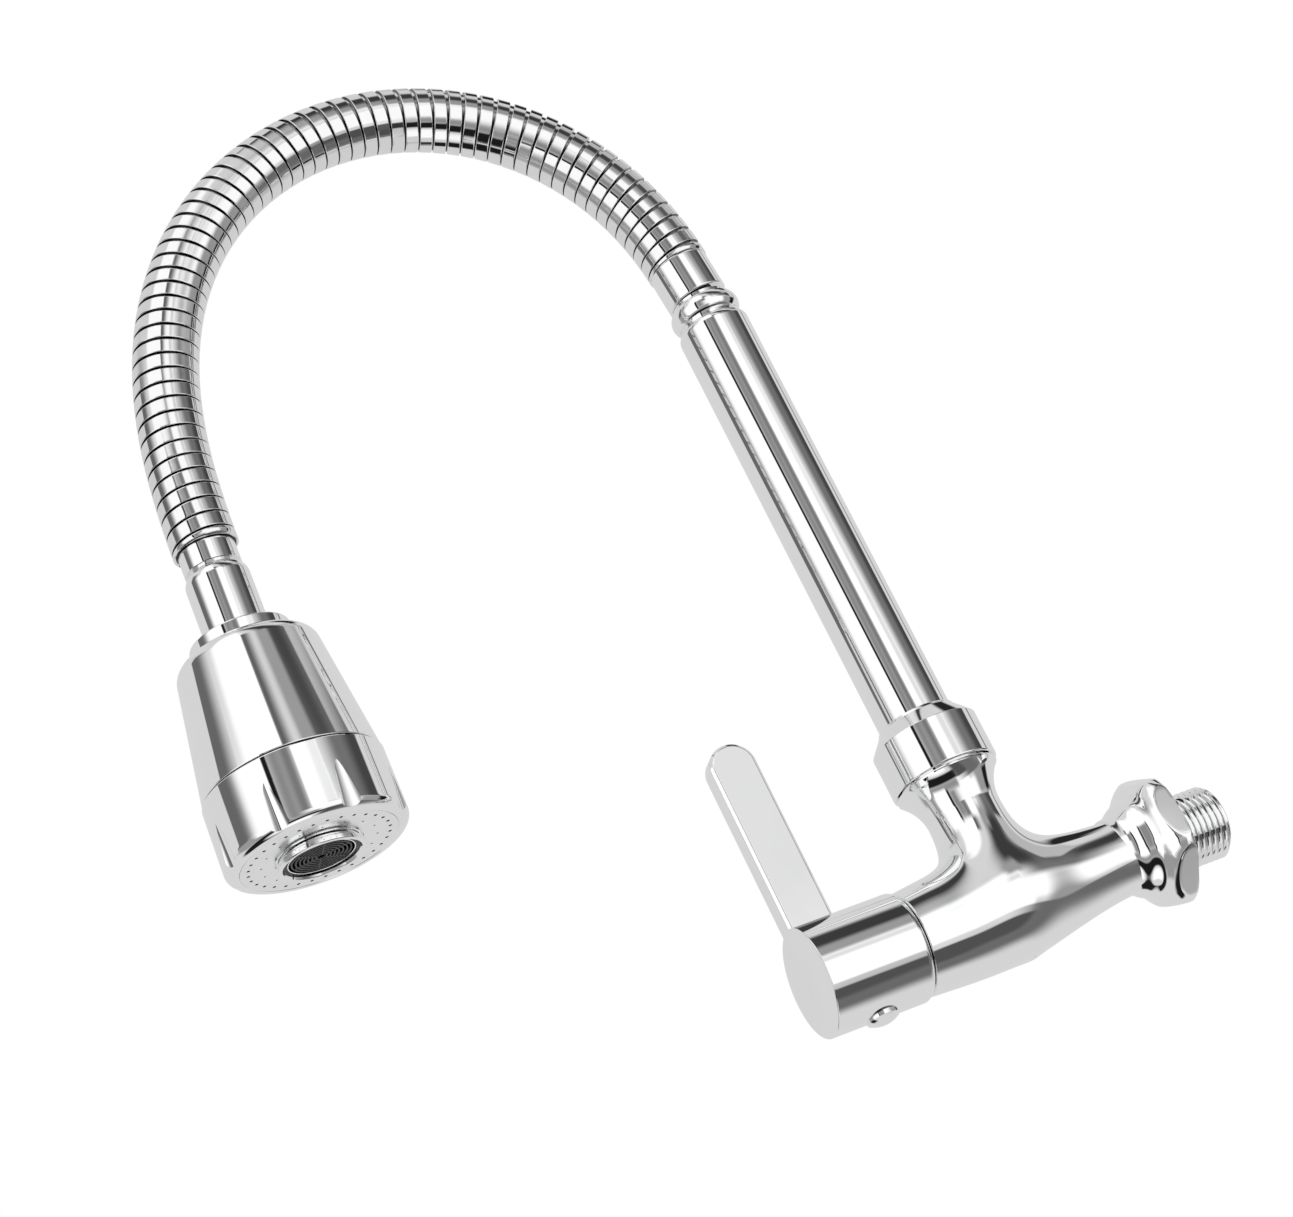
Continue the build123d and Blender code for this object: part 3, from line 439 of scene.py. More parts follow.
def wound_tree():
    """Tree that winds a section round a centre line, over an optional plain core."""
    tree = Tree("Wound strip")
    section = tree.input("Section", "Object")
    core = tree.input("Core Section", "Object")
    turns = tree.input("Turns", "Float", 5.0)
    steps = tree.input("Steps per Turn", "Int", 48)
    radius = tree.input("Winding Radius", "Float", 0.009)
    start = tree.input("Start Angle", "Float", 0.0)
    taper = tree.input("Taper Turns", "Float", 0.0)
    wave = tree.input("Waviness", "Float", 0.0)
    material = tree.input("Material", "Material")
    line = tree.add("GeometryNodeMeshToCurve", tree.inputs.outputs["Geometry"])
    count = tree.math("ADD", tree.product(turns, steps), 1.0)
    fine = tree.add("GeometryNodeResampleCurve", line, mode="COUNT", Count=count)
    factor = tree.add("GeometryNodeSplineParameter").outputs["Factor"]
    wound = tree.product(factor, turns)
    angle = tree.math("ADD", tree.product(wound, TAU), start)
    across = tree.add("ShaderNodeCombineXYZ", 1.0, 0.0, 0.0)
    tangent = tree.add("GeometryNodeInputTangent")
    up = tree.vector("CROSS_PRODUCT", tangent, across)
    radial = tree.vector("ADD", tree.vector("SCALE", across, Scale=tree.math("COSINE", angle)),
                         tree.vector("SCALE", up, Scale=tree.math("SINE", angle)))
    kept = tree.add("GeometryNodeCaptureAttribute", fine)
    kept.capture_items.new("VECTOR", "Radial")
    tree.feed(kept.inputs["Radial"], radial)
    radial = kept.outputs["Radial"]
    moved = tree.add("GeometryNodeSetPosition", kept, Offset=tree.vector("SCALE", radial, Scale=radius))
    noise = tree.add("ShaderNodeTexNoise", noise_dimensions="1D", W=tree.product(angle, 0.29), Scale=1.0,
                     Detail=1.0)
    tilt = tree.product(tree.math("SUBTRACT", noise, 0.5), wave)
    facing = tree.vector("ADD", radial, tree.vector("SCALE", tangent, Scale=tilt))
    aimed = tree.add("GeometryNodeSetCurveNormal", moved, mode="FREE", Normal=facing)
    left = tree.product(tree.math("SUBTRACT", 1.0, factor), turns)
    rise, fall = (tree.math("DIVIDE", part, tree.math("MAXIMUM", taper, 1e-4)) for part in (wound, left))
    size = tree.math("MAXIMUM", tree.math("MINIMUM", tree.math("MINIMUM", rise, fall), 1.0), 0.02)
    scale = tree.math("MAXIMUM", size, tree.math("LESS_THAN", taper, 1e-3))
    outlines = (tree.add("GeometryNodeObjectInfo", part).outputs["Geometry"] for part in (section, core))
    shape, bore = (tree.add("GeometryNodeMeshToCurve", outline) for outline in outlines)
    strip = tree.add("GeometryNodeCurveToMesh", aimed, shape, scale, Fill_Caps=True)
    upright = tree.add("GeometryNodeSetCurveNormal", line, mode="FREE", Normal=up)
    joined = tree.add("GeometryNodeJoinGeometry", strip)
    tree.feed(joined.inputs[0], tree.add("GeometryNodeCurveToMesh", upright, bore))
    return tree.finish(joined, material)


def drilled_tree():
    """Tree that drills rings of small holes through a plate."""
    tree = Tree("Drilled plate")
    material = tree.input("Material", "Material")
    depth = tree.input("Hole Depth", "Float", 0.004)
    side = tree.input("Hole Sides", "Int", 16)
    height = tree.input("Height", "Float", 0.0)
    drills = tree.add("GeometryNodeJoinGeometry")
    for ring in ("Outer", "Inner"):
        count = tree.input(ring + " Count", "Int", 32)
        circle = tree.input(ring + " Circle", "Float", 0.02)
        bore = tree.input(ring + " Hole Radius", "Float", 0.0005)
        turn = tree.add("ShaderNodeCombineXYZ", 0.0, 0.0, tree.input(ring + " Turn", "Float", 0.0))
        line = tree.add("GeometryNodeCurvePrimitiveCircle", Resolution=count, Radius=circle)
        spun = tree.add("GeometryNodeTransform", line, Rotation=turn)
        places = tree.add("GeometryNodeCurveToPoints", spun, mode="EVALUATED")
        pin = tree.add("GeometryNodeMeshCylinder", side, 1, 1, bore, depth)
        tree.feed(drills.inputs[0], tree.add("GeometryNodeInstanceOnPoints", places, Instance=pin))
    real = tree.add("GeometryNodeRealizeInstances", drills)
    raised = tree.add("GeometryNodeTransform", real,
                      Translation=tree.add("ShaderNodeCombineXYZ", 0.0, 0.0, height))
    cut = tree.add("GeometryNodeMeshBoolean", tree.inputs.outputs["Geometry"], operation="DIFFERENCE",
                   solver="EXACT", Mesh_2=raised)
    return tree.finish(cut, material)


def nested_tree():
    """Tree that nests round bars inside each other and ties them with short spokes."""
    tree = Tree("Nested rings")
    rings = tree.input("Rings", "Int", 8)
    outer = tree.input("Outer Radius", "Float", 0.01)
    inner = tree.input("Inner Radius", "Float", 0.0015)
    bar = tree.input("Bar Radius", "Float", 0.0003)
    spokes = tree.input("Spokes", "Int", 12)
    material = tree.input("Material", "Material")
    step = tree.math("DIVIDE", tree.math("SUBTRACT", outer, inner), tree.math("SUBTRACT", rings, 1.0))
    points = tree.add("GeometryNodePoints", rings)
    index = tree.add("GeometryNodeInputIndex")
    size = tree.math("ADD", inner, tree.product(index, step))
    section = tree.add("GeometryNodeCurvePrimitiveCircle", Resolution=6, Radius=bar)
    unit_ring = tree.add("GeometryNodeCurvePrimitiveCircle", Resolution=48, Radius=1.0)
    copies = tree.add("GeometryNodeInstanceOnPoints", points, Instance=unit_ring,
                      Scale=tree.add("ShaderNodeCombineXYZ", size, size, size))
    circles = tree.add("GeometryNodeRealizeInstances", copies)
    bars = tree.add("GeometryNodeCurveToMesh", circles, section)
    start, end = (tree.add("ShaderNodeCombineXYZ", reach, 0.0, 0.0) for reach in (inner, outer))
    spoke = tree.add("GeometryNodeCurvePrimitiveLine", Start=start, End=end)
    rod = tree.add("GeometryNodeCurveToMesh", spoke, section)
    hubs = tree.add("GeometryNodePoints", spokes)
    turn = tree.math("DIVIDE", tree.product(index, TAU), spokes)
    fan = tree.add("GeometryNodeInstanceOnPoints", hubs, Instance=rod,
                   Rotation=tree.add("ShaderNodeCombineXYZ", 0.0, 0.0, turn))
    joined = tree.add("GeometryNodeJoinGeometry", bars)
    tree.feed(joined.inputs[0], fan)
    return tree.finish(joined, material)


# finishes

class Look(Nodes):
    """Shader node tree of a material, a group or the world."""

    def ramp(self, value, low, high, first, last):
        """Value carried from one range to another, smoothly and held at both ends."""
        return self.add("ShaderNodeMapRange", value, low, high, first, last,
                        interpolation_type="SMOOTHSTEP")

    def blend(self, factor, first, second):
        """Mix of two colours."""
        node = self.add("ShaderNodeMix", data_type="RGBA")
        for socket, value in zip((node.inputs[0], node.inputs[6], node.inputs[7]), (factor, first, second)):
            self.feed(socket, value)
        return node.outputs[2]

    def mirrored(self):
        """One where a ray comes from a reflection or through something clear, else nought."""
        path = self.add("ShaderNodeLightPath").outputs
        return self.math("MAXIMUM", path["Is Glossy Ray"], path["Is Transmission Ray"])


def shader_group(name, inputs, outputs):
    """Empty shader group with named sockets, each a name, a kind and a value."""
    tree = bpy.data.node_groups.new(name, "ShaderNodeTree")
    for label, kind, value in inputs:
        made = tree.interface.new_socket(label, in_out="INPUT", socket_type="NodeSocket" + kind)
        made.default_value = value
    for label, kind in outputs:
        tree.interface.new_socket(label, in_out="OUTPUT", socket_type="NodeSocket" + kind)
    look = Look(tree)
    look.inputs = tree.nodes.new("NodeGroupInput").outputs
    look.outputs = tree.nodes.new("NodeGroupOutput").inputs
    return look


def plating_group():
    """Skin of a plated or moulded surface: faint smudges, fine polishing lines and a slow ripple."""
    group = shader_group(
        "Plated skin",
        [("Tone", "Color", (0.9, 0.9, 0.9, 1)), ("Smudge Tone", "Color", (0.8, 0.8, 0.8, 1)),
         ("Smudge Scale", "Float", 60.0), ("Smudge Amount", "Float", 0.3),
         ("Gloss Roughness", "Float", 0.03), ("Smudge Roughness", "Float", 0.08),
         ("Ripple Scale", "Float", 120.0), ("Ripple Height", "Float", 0.1), ("Grain Height", "Float", 0.0)],
        [("Color", "Color"), ("Roughness", "Float"), ("Height", "Float")])
    place = group.add("ShaderNodeTexCoord").outputs["Object"]
    smudge = group.add("ShaderNodeTexNoise", Vector=place, Scale=group.inputs["Smudge Scale"], Detail=4.0)
    mask = group.product(group.ramp(smudge, 0.48, 0.75, 0.0, 1.0), group.inputs["Smudge Amount"])
    ripple = group.add("ShaderNodeTexNoise", Vector=place, Scale=group.inputs["Ripple Scale"], Detail=1.0)
    grain = group.add("ShaderNodeTexNoise", Vector=place, Scale=2600.0, Detail=2.0)
    height = group.math("ADD", group.product(ripple, group.inputs["Ripple Height"]),
                        group.product(grain, group.inputs["Grain Height"]))
    group.feed(group.outputs["Color"], group.blend(mask, group.inputs["Tone"], group.inputs["Smudge Tone"]))
    spread = group.math("SUBTRACT", group.inputs["Smudge Roughness"], group.inputs["Gloss Roughness"])
    group.feed(group.outputs["Roughness"],
               group.math("ADD", group.inputs["Gloss Roughness"], group.product(mask, spread)))
    group.feed(group.outputs["Height"], height)
    return group.tree


def finish_material(name, tone, smudge, metallic, gloss, rough, scale=60.0, amount=0.35,
                    ripple=(120.0, 0.05), grain=0.0, depth=0.00002, gap=False):
    """Material with the plated skin's colour, roughness and bump, with painted shade that darkens it deep
    in the hose's gaps.
    """
    material = bpy.data.materials.new(name)
    material.use_nodes = True
    material.diffuse_color = (*tone, 1)
    look = Look(material.node_tree)
    skin = look.add("ShaderNodeGroup", node_tree=bpy.data.node_groups["Plated skin"],
                    Tone=(*tone, 1), Smudge_Tone=(*smudge, 1), Smudge_Scale=scale, Smudge_Amount=amount,
                    Gloss_Roughness=gloss, Smudge_Roughness=rough, Ripple_Scale=ripple[0],
                    Ripple_Height=ripple[1], Grain_Height=grain)
    shader = look.tree.nodes["Principled BSDF"]
    shader.inputs["Metallic"].default_value = metallic
    bump = look.add("ShaderNodeBump", Strength=1.0, Distance=depth, Height=skin.outputs["Height"])
    colour = skin.outputs["Color"]
    # painted shade: near-black mixed into the colour where the gap attribute marks a point deep in the
    # hose's gaps
    if gap:
        painted_gap_shade = look.add("ShaderNodeAttribute", attribute_name="gap").outputs["Fac"]
        shade = look.ramp(painted_gap_shade, 0.1, 0.9, 0.0, 1.0)
        colour = look.blend(shade, colour, (0.012, 0.012, 0.012, 1))
    look.feed(shader.inputs["Base Color"], colour)
    look.feed(shader.inputs["Roughness"], skin.outputs["Roughness"])
    look.feed(shader.inputs["Normal"], bump)
    return material


def make_finishes(look):
    """Every finish of the tap, by its plain name."""
    plating_group()
    chrome = tuple(look.chrome)
    soft = tuple(0.93 * c for c in chrome)
    return {
        "cast_chrome": finish_material("Cast chrome", chrome, soft, 1, look.gloss, 0.07, ripple=(90, 0.5)),
        "tube_chrome": finish_material("Drawn chrome", chrome, soft, 1, look.gloss, 0.06, 45.0, 0.3),
        # the strip's finish is darkened by painted shade in the hose's gaps
        "strip_chrome": finish_material("Strip chrome", soft, chrome, 1, 0.04, 0.09, 300.0, 0.5,
                                        (420, 0.3), gap=True),
        "plastic_chrome": finish_material("Plated plastic", chrome, soft, 1, look.gloss, 0.07,
                                          ripple=(70, 0.4)),
        "face_chrome": finish_material("Plated face", chrome, soft, 1, 0.17, 0.22, 150.0, 0.4),
        "black_plastic": finish_material("Black plastic", (0.006, 0.006, 0.006), (0.014, 0.014, 0.014), 0,
                                         0.3, 0.45, 400.0, 0.6, grain=0.2),
        "rubber": finish_material("Black rubber", (0.02, 0.02, 0.02), (0.045, 0.045, 0.045), 0, 0.55, 0.7,
                                  300.0, 0.8, grain=0.6),
        "brass": finish_material("Machined brass", (0.78, 0.55, 0.24), (0.6, 0.4, 0.16), 1, 0.2, 0.35,
                                 200.0, 0.7, grain=0.3),
        "ceramic": finish_material("Lapped ceramic", (0.86, 0.84, 0.78), (0.78, 0.76, 0.7), 0, 0.25, 0.4),
        "nylon": finish_material("White nylon", (0.8, 0.8, 0.76), (0.72, 0.72, 0.68), 0, 0.4, 0.55,
                                 grain=0.3),
        "steel": finish_material("Plain steel", (0.55, 0.56, 0.58), (0.42, 0.43, 0.45), 1, 0.25, 0.4,
                                 250.0, 0.7),
        "hose_rubber": finish_material("Inner hose", (0.05, 0.05, 0.055), (0.09, 0.09, 0.09), 0, 0.5, 0.65,
                                       200.0, 0.7, grain=0.5),
    }


# sizes that a user would change

def size(name, description, value):
    """Length property given in millimetres."""
    return FloatProperty(name=name, description=description, default=value * MM, min=0.0, unit="LENGTH",
                         precision=5)


def in_mm(group):
    """A property group's lengths in millimetres."""
    return SimpleNamespace(**{key: getattr(group, key) / MM for key in type(group).__annotations__})


class CastingSizes(bpy.types.PropertyGroup):
    """Sizes of the body casting and its wall connection."""
    hex_flats: size("Hexagon", "Width of the flange across its flats", 35.0)
    flange_round: size("Flange", "Diameter of the flange's turned rim", 38.8)
    waist: size("Waist", "Diameter of the neck behind the flange", 21.6)
    belly: size("Belly", "Widest diameter of the body", 31.6)
    collar: size("Collar", "Diameter of the body at the handle", 29.0)
    outlet: size("Outlet", "Diameter of the upright outlet at its waist", 21.2)
    outlet_lip: size("Outlet lip", "Diameter of the outlet under the nut", 29.8)
    blend: size("Blend", "Radius between the body and its outlet", 8.5)
    grid: size("Grid", "Spacing of the blended body's surface points", 0.6)
    thread: size("Thread", "Diameter over the wall thread's crests", 20.955)
    pitch: size("Thread pitch", "Distance between the wall thread's crests", 1.814)
    stub: size("Stub", "Length of the threaded stub behind the flange", 16.5)
    bore: size("Bore", "Diameter of the waterway in the stub", 14.0)


class RiserSizes(bpy.types.PropertyGroup):
    """Sizes of the union nut, the riser and the sleeve above it."""
    nut: size("Nut", "Diameter of the union nut", 31.1)
    nut_side: size("Nut side", "Height of the nut's straight side", 13.4)
    nut_cone: size("Nut cone", "Height of the nut's conical shoulder", 4.6)
    tube: size("Tube", "Diameter of the riser tube", 21.2)
    bead: size("Bead", "Diameter of the raised bead above the tube", 20.8)
    sleeve: size("Sleeve", "Diameter of the sleeve between the bead and the hose", 18.0)


class HandleSizes(bpy.types.PropertyGroup):
    """Sizes of the lever handle."""
    hub: size("Hub", "Diameter of the hub", 31.0)
    hub_length: size("Hub length", "Length of the hub", 30.0)
    lever_width: size("Lever width", "Width of the lever along the hub", 13.4)
    lever_thick: size("Lever thickness", "Thickness of the lever", 7.8)
    lever_top: size("Lever top", "Height of the lever's round end", 67.0)
    bevel: size("Bevel", "Bevel round the lever's flat faces", 0.9)
    plug: size("Plug", "Diameter of the domed plug", 9.6)


class HoseSizes(bpy.types.PropertyGroup):
    """Sizes of the wound goose neck."""
    tube: size("Hose", "Diameter over the wound strip", 18.7)
    step: size("Strip height", "How far the strip stands above the layer below", 0.75)
    edge: size("Strip edge", "Rounding of the strip's edges", 0.22)
    gap: size("Closed gap", "Gap between turns on the inner side of the bend", 0.32)


class HeadSizes(bpy.types.PropertyGroup):
    """Sizes of the spray head."""
    bell: size("Bell", "Diameter of the bell above the head", 18.2)
    collar: size("Collar", "Diameter of the collar on the head", 28.4)
    shell_top: size("Shell top", "Diameter of the shell at its shoulder", 40.6)
    shell_foot: size("Shell foot", "Diameter of the shell at the seam", 50.2)
    ring_top: size("Ring top", "Diameter of the lower ring at the seam", 50.8)
    ring_foot: size("Ring foot", "Diameter of the lower ring above its rounded edge", 51.4)
    flute: size("Flute depth", "Depth of the grip flutes at the face", 1.3)
    flute_height: size("Flute height", "Height of the grip flutes above the face", 15.6)
    nozzle: size("Nozzle", "Diameter of the centre nozzle", 24.6)
    hole: size("Spray hole", "Diameter of a spray hole", 1.0)
    hole_circle: size("Spray circle", "Diameter of the ring of spray holes", 39.4)
    aerator: size("Aerator", "Diameter of the black aerator", 21.4)


class TapLook(bpy.types.PropertyGroup):
    """Colours and light."""
    chrome: FloatVectorProperty(name="Chrome", description="Tone of the plating", size=3, min=0, max=1,
                                default=(0.93, 0.932, 0.935), subtype="COLOR")
    gloss: FloatProperty(name="Gloss roughness", description="Roughness of clean plating", default=0.025,
                         min=0, max=1, subtype="FACTOR")
    floor: FloatVectorProperty(name="Floor", description="Colour of the floor", size=3, min=0, max=1,
                               default=(0.86, 0.86, 0.86), subtype="COLOR")
    floor_depth: size("Floor depth", "How far the floor lies below the tap's wall connection", 300.0)
    lamp: FloatProperty(name="Lamp", description="Power of the soft lamp above the tap", default=4.0, min=0,
                        unit="POWER")
    flutes: IntProperty(name="Flutes", description="Grip flutes round the head's ring", default=8, min=1)
    holes: IntProperty(name="Spray holes", description="Holes in the outer spray ring", default=32, min=1)
    rings: IntProperty(name="Aerator rings", description="Rings of the aerator's screen", default=7, min=2)


# the blended body

def eased(along, knots, radii, first, last):
    """Radius and slope of a smooth outline through three radii, with its end slopes given."""
    a, b = knots[1] - knots[0], knots[2] - knots[1]
    rise = 3 * ((radii[1] - radii[0]) * b / a + (radii[2] - radii[1]) * a / b)
    middle = (rise - first * b - last * a) / (2 * (a + b))
    along = np.clip(along, knots[0], knots[2])
    low = along < knots[1]
    span = np.where(low, a, b)
    t = np.where(low, along - knots[0], along - knots[1]) / span
    r0, r1 = np.where(low, radii[0], radii[1]), np.where(low, radii[1], radii[2])
    m0, m1 = np.where(low, first, middle) * span, np.where(low, middle, last) * span
    radius = r0 + (r1 - r0) * t * t * (3 - 2 * t) + m0 * t * (1 - t) ** 2 - m1 * t * t * (1 - t)
    slope = ((r1 - r0) * 6 * t * (1 - t) + m0 * (1 - t) * (1 - 3 * t) + m1 * t * (3 * t - 2)) / span
    return radius, slope


def barrel_radius(along, sizes):
    """Radius of the bulged body along its axis, and its slope."""
    waist_at, belly_at, collar_at, collar_slope = 13.0, 53.0, BODY_LEN + 2, -0.07
    return eased(along, (waist_at, belly_at, collar_at),
                 (sizes.waist / 2, sizes.belly / 2, sizes.collar / 2), 0.0, collar_slope)


def body_distance(points, sizes):
    """Distance outside the bulged body flowing into its upright outlet, wider towards the sides."""
    along = points @ BARREL.z
    radius, slope = barrel_radius(along, sizes)
    off_axis = np.linalg.norm(points - along[..., None] * BARREL.z, axis=-1)
    barrel = (off_axis - radius) / np.sqrt(1 + slope ** 2)
    across, back = points[..., 0], points[..., 1] + RISER_REACH
    off_riser = across ** 2 + back ** 2
    below = np.minimum(points[..., 2] - 3.0, 0)
    outlet = np.sqrt(off_riser + below ** 2) - sizes.outlet / 2
    reach = sizes.blend * (1.75 + 0.85 * across ** 2 / np.maximum(off_riser, 1e-6))
    near = np.maximum(reach - np.abs(barrel - outlet), 0) / reach
    return np.minimum(barrel, outlet) - near ** 3 * reach / 6


def body_field(points, sizes):
    """Distance outside the body, and the way out."""
    step = 0.01
    out = np.stack([body_distance(points + d, sizes) - body_distance(points - d, sizes)
                    for d in np.eye(3) * step], -1)
    return body_distance(points, sizes), out / np.maximum(np.linalg.norm(out, axis=-1, keepdims=True), 1e-9)


def on_field(points, sizes, keep=None):
    """Points moved onto the body's surface; keep holds one coordinate."""
    for _ in range(4):
        value, out = body_field(points, sizes)
        if keep is not None:
            out[:, keep] = 0
            out /= np.maximum((out ** 2).sum(-1, keepdims=True), 1e-3)
        points = points - value[:, None] * out
    return points


def surface_net(sizes, low, high):
    """Quads that follow the body's surface inside a box, one point for each cell that it crosses."""
    axes = [np.arange(a, b + sizes.grid, sizes.grid) for a, b in zip(low, high)]
    grid = np.stack(np.meshgrid(*axes, indexing="ij"), -1)
    inside = body_distance(grid, sizes) < 0
    cells = np.zeros([n - 1 for n in inside.shape], int)
    for corner in np.ndindex(2, 2, 2):
        cells += inside[tuple(slice(c, c + n) for c, n in zip(corner, cells.shape))]
    crossed = (cells > 0) & (cells < 8)
    number = np.full(crossed.shape, -1)
    number[crossed] = np.arange(crossed.sum())
    points = np.argwhere(crossed) * sizes.grid + [a[0] + sizes.grid / 2 for a in axes]
    faces = []
    for axis in range(3):
        u, v = (axis + 1) % 3, (axis + 2) % 3
        here = [slice(1, -1)] * 3
        here[axis] = slice(0, -1)
        ahead = list(here)
        ahead[axis] = slice(1, None)
        change = inside[tuple(here)].astype(int) - inside[tuple(ahead)].astype(int)
        for sign in (1, -1):
            spots = np.argwhere(change == sign)
            base = spots + [0 if k == axis else 1 for k in range(3)]
            ring = []
            for du, dv in ((0, 0), (-1, 0), (-1, -1), (0, -1)):
                cell = base.copy()
                cell[:, u] += du
                cell[:, v] += dv
                ring.append(number[tuple(cell.T)])
            quad = np.stack(ring if sign > 0 else ring[::-1], -1)
            faces += quad[(quad >= 0).all(axis=1)].tolist()
    return on_field(points, sizes), faces


def body_casting(sizes, look):
    """Closed mesh of the body with its valve chamber, its outlet socket and its waterway."""
    back, front, top = -28.0, -72.0, 26.0
    side, under, spare = 20, -21, 1.5
    points, faces = surface_net(sizes, (-side, front - spare, under), (side, back + spare, top + spare))
    mesh = bpy.data.meshes.new("Body casting")
    mesh.from_pydata(points, [], faces)
    ends = (("back", 1, back, 1), ("front", 1, front, -1), ("top", 2, top, 1))
    with editing(mesh) as work:
        for _, axis, place, way in ends:
            cut_away(work, np.eye(3)[axis] * place, np.eye(3)[axis] * way, 1e-4)
        rims = {}
        for key, axis, place, _ in ends:
            rims[key] = [v for v in work.verts if v.is_boundary and abs(v.co[axis] - place) < 1e-3]
            where = on_field(np.array([v.co for v in rims[key]]), sizes, axis)
            for vert, co in zip(rims[key], where):
                vert.co = co
        on_surface = set(work.verts)
        for key, rows in rim_rows(sizes, -back, -front, top).items():
            on_surface |= extend_rim(work, rims[key], key, rows, sizes)
        face_outward(work)
        work.verts.index_update()
        known = np.zeros(len(work.verts), bool)
        known[[v.index for v in on_surface]] = True
    crisp(mesh)
    normals = np.array([n.vector for n in mesh.corner_normals])
    corners = np.array([loop.vertex_index for loop in mesh.loops])
    exact = body_field(np.array([v.co for v in mesh.vertices]), sizes)[1]
    ours = known[corners]
    normals[ours] = exact[corners[ours]]
    mesh.transform(Matrix.Scale(MM, 4))
    mesh.normals_split_custom_set(normals.tolist())
    mesh.materials.append(look)
    return new_object("body_casting", mesh)


def rim_rows(sizes, back, front, top):
    """Rows of radius and height that close the body at its outlet, its handle and its wall side."""
    lip, lip_base, lip_top = sizes.outlet_lip / 2, 36.4, 37.2
    socket, socket_top, port, port_floor = 13.3, 46.5, 10.68, 31.3
    chamber, chamber_floor, inlet_end, hidden_end = 10.2, 57.5, 46.0, 13.0
    neck = tangent_arc((sizes.outlet / 2, top), (lip, lip_base), (0, 1), 18)[1:]
    neck += [(lip, lip_base + 0.5), (lip - 0.08, lip_top - 0.1), (lip - 0.3, lip_top), (socket, lip_top),
             (socket, socket_top), (port, socket_top), (port, port_floor), (AXIS_GAP, port_floor)]
    barrel = [(None, height) for height in np.linspace(front + 0.5, BODY_LEN - 0.4, 20)]
    barrel += [(-0.06, BODY_LEN - 0.15), (-0.35, BODY_LEN), (chamber, BODY_LEN), (chamber, chamber_floor),
               (AXIS_GAP, chamber_floor)]
    wall = [(None, height) for height in np.linspace(back - 0.6, hidden_end, 26)]
    wall += [(WATERWAY, hidden_end), (WATERWAY, inlet_end), (AXIS_GAP, inlet_end)]
    return {"top": neck, "front": barrel, "back": wall}


def extend_rim(work, rim, key, rows, sizes):
    """Carry a rim on to a closed end; no radius follows the body, one below nought lies inside it."""
    def polar(co):
        if key == "top":
            return math.atan2(co[1] + RISER_REACH, co[0])
        return math.atan2(co[2] + rim_drop(-co[1]), co[0])
    previous = sorted(rim, key=lambda v: polar(v.co))
    angles = np.array([polar(v.co) for v in previous])
    on_surface = set()
    for radius, height in rows:
        if key == "top":
            ring = np.stack((radius * np.cos(angles), radius * np.sin(angles) - RISER_REACH,
                             np.full(len(angles), height)), -1)
        else:
            shape = radius
            if radius is None or radius < 0:
                shape = barrel_radius(np.array(height), sizes)[0] + (radius or 0)
            ring = np.stack((shape * np.cos(angles), np.full(len(angles), -height),
                             shape * np.sin(angles) - rim_drop(height)), -1)
            if radius is None:
                ring = on_field(ring, sizes, 1)
        verts = [work.verts.new(co) for co in ring]
        on_surface.update(verts if radius is None else ())
        for i, vert in enumerate(verts):
            j = (i + 1) % len(verts)
            work.faces.new((previous[i], previous[j], verts[j], vert))
        previous = verts
    work.faces.new(previous)
    return on_surface


def rim_drop(height):
    """How far the body's axis has dropped at a distance from the wall."""
    return HANDLE_DROP * min(height, BODY_LEN) / BODY_LEN


def soft_min(a, b, reach):
    """Lesser of two values with a small round between them."""
    near = np.maximum(reach - np.abs(a - b), 0) / reach
    return np.minimum(a, b) - near ** 2 * reach / 4


def smooth_line(points, steps=12):
    """Dense points of a smooth curve through given points."""
    p = np.array(points, float)
    slope = np.gradient(p, axis=0)
    t = np.linspace(0, 1, steps, endpoint=False)[:, None]
    parts = [p[i] + (p[i + 1] - p[i]) * t * t * (3 - 2 * t) + slope[i] * t * (1 - t) ** 2
             - slope[i + 1] * t * t * (1 - t) for i in range(len(p) - 1)]
    return np.concatenate(parts + [p[-1:]])


def flange_points(sizes):
    """Grid of the hexagon flange: rounded disc and trumpet cut by six flats, with softened edges."""
    flat = sizes.hex_flats / 2
    near = np.array((-8, -5, -3, -1.8, -1, -0.5, 0, 0.5, 1, 1.8, 3, 5, 8))
    steps = np.concatenate((near, np.arange(11, 50, 2.4)))
    degrees = np.sort(np.concatenate([HEX_TURN + 60 * k + steps for k in range(6)]) % 360)
    away = np.radians((degrees - HEX_TURN) % 60.0 - 30.0)
    hexagon = flat / np.cos(away)
    rim, neck = sizes.flange_round / 2, sizes.waist / 2
    disc = smooth_line([(rim - 1.3, 0), (rim - 0.4, 0.5), (rim, 1.9), (rim - 0.3, 3.5), (rim - 1.2, 5.3),
                        (rim - 2.8, 7.1), (rim - 5.0, 9.0), (neck + 2.2, 11.6), (neck + 0.5, 14.2),
                        (neck, FLANGE_END)])
    rows = [(WATERWAY, 0)]
    front = disc[:, 0].argmax()
    low = np.interp(hexagon, disc[:front + 1, 0], disc[:front + 1, 1], left=0, right=-1)
    high = np.interp(-hexagon, -disc[front:, 0], disc[front:, 1], left=-1)
    whole = hexagon > rim
    low, high = np.where(whole, disc[front, 1], low), np.where(whole, disc[front, 1], high)
    for start, end, count in ((0 * low, low, 7), (low, high, 12), (high, 0 * high + FLANGE_END, 40)):
        for share in np.linspace(0, 1, count, endpoint=False):
            height = start + (end - start) * share
            rows.append((soft_min(hexagon, np.interp(height, disc[:, 1], disc[:, 0]), EDGE_ROUND), height))
    rows += [(neck, FLANGE_END), (WATERWAY, FLANGE_END)]
    grid = np.stack([np.stack([np.zeros_like(hexagon) + part for part in row], -1) for row in rows], 1)
    angle = np.radians(degrees)[:, None]
    return np.stack((grid[..., 0] * np.cos(angle), grid[..., 0] * np.sin(angle), grid[..., 1]), -1)


# operators

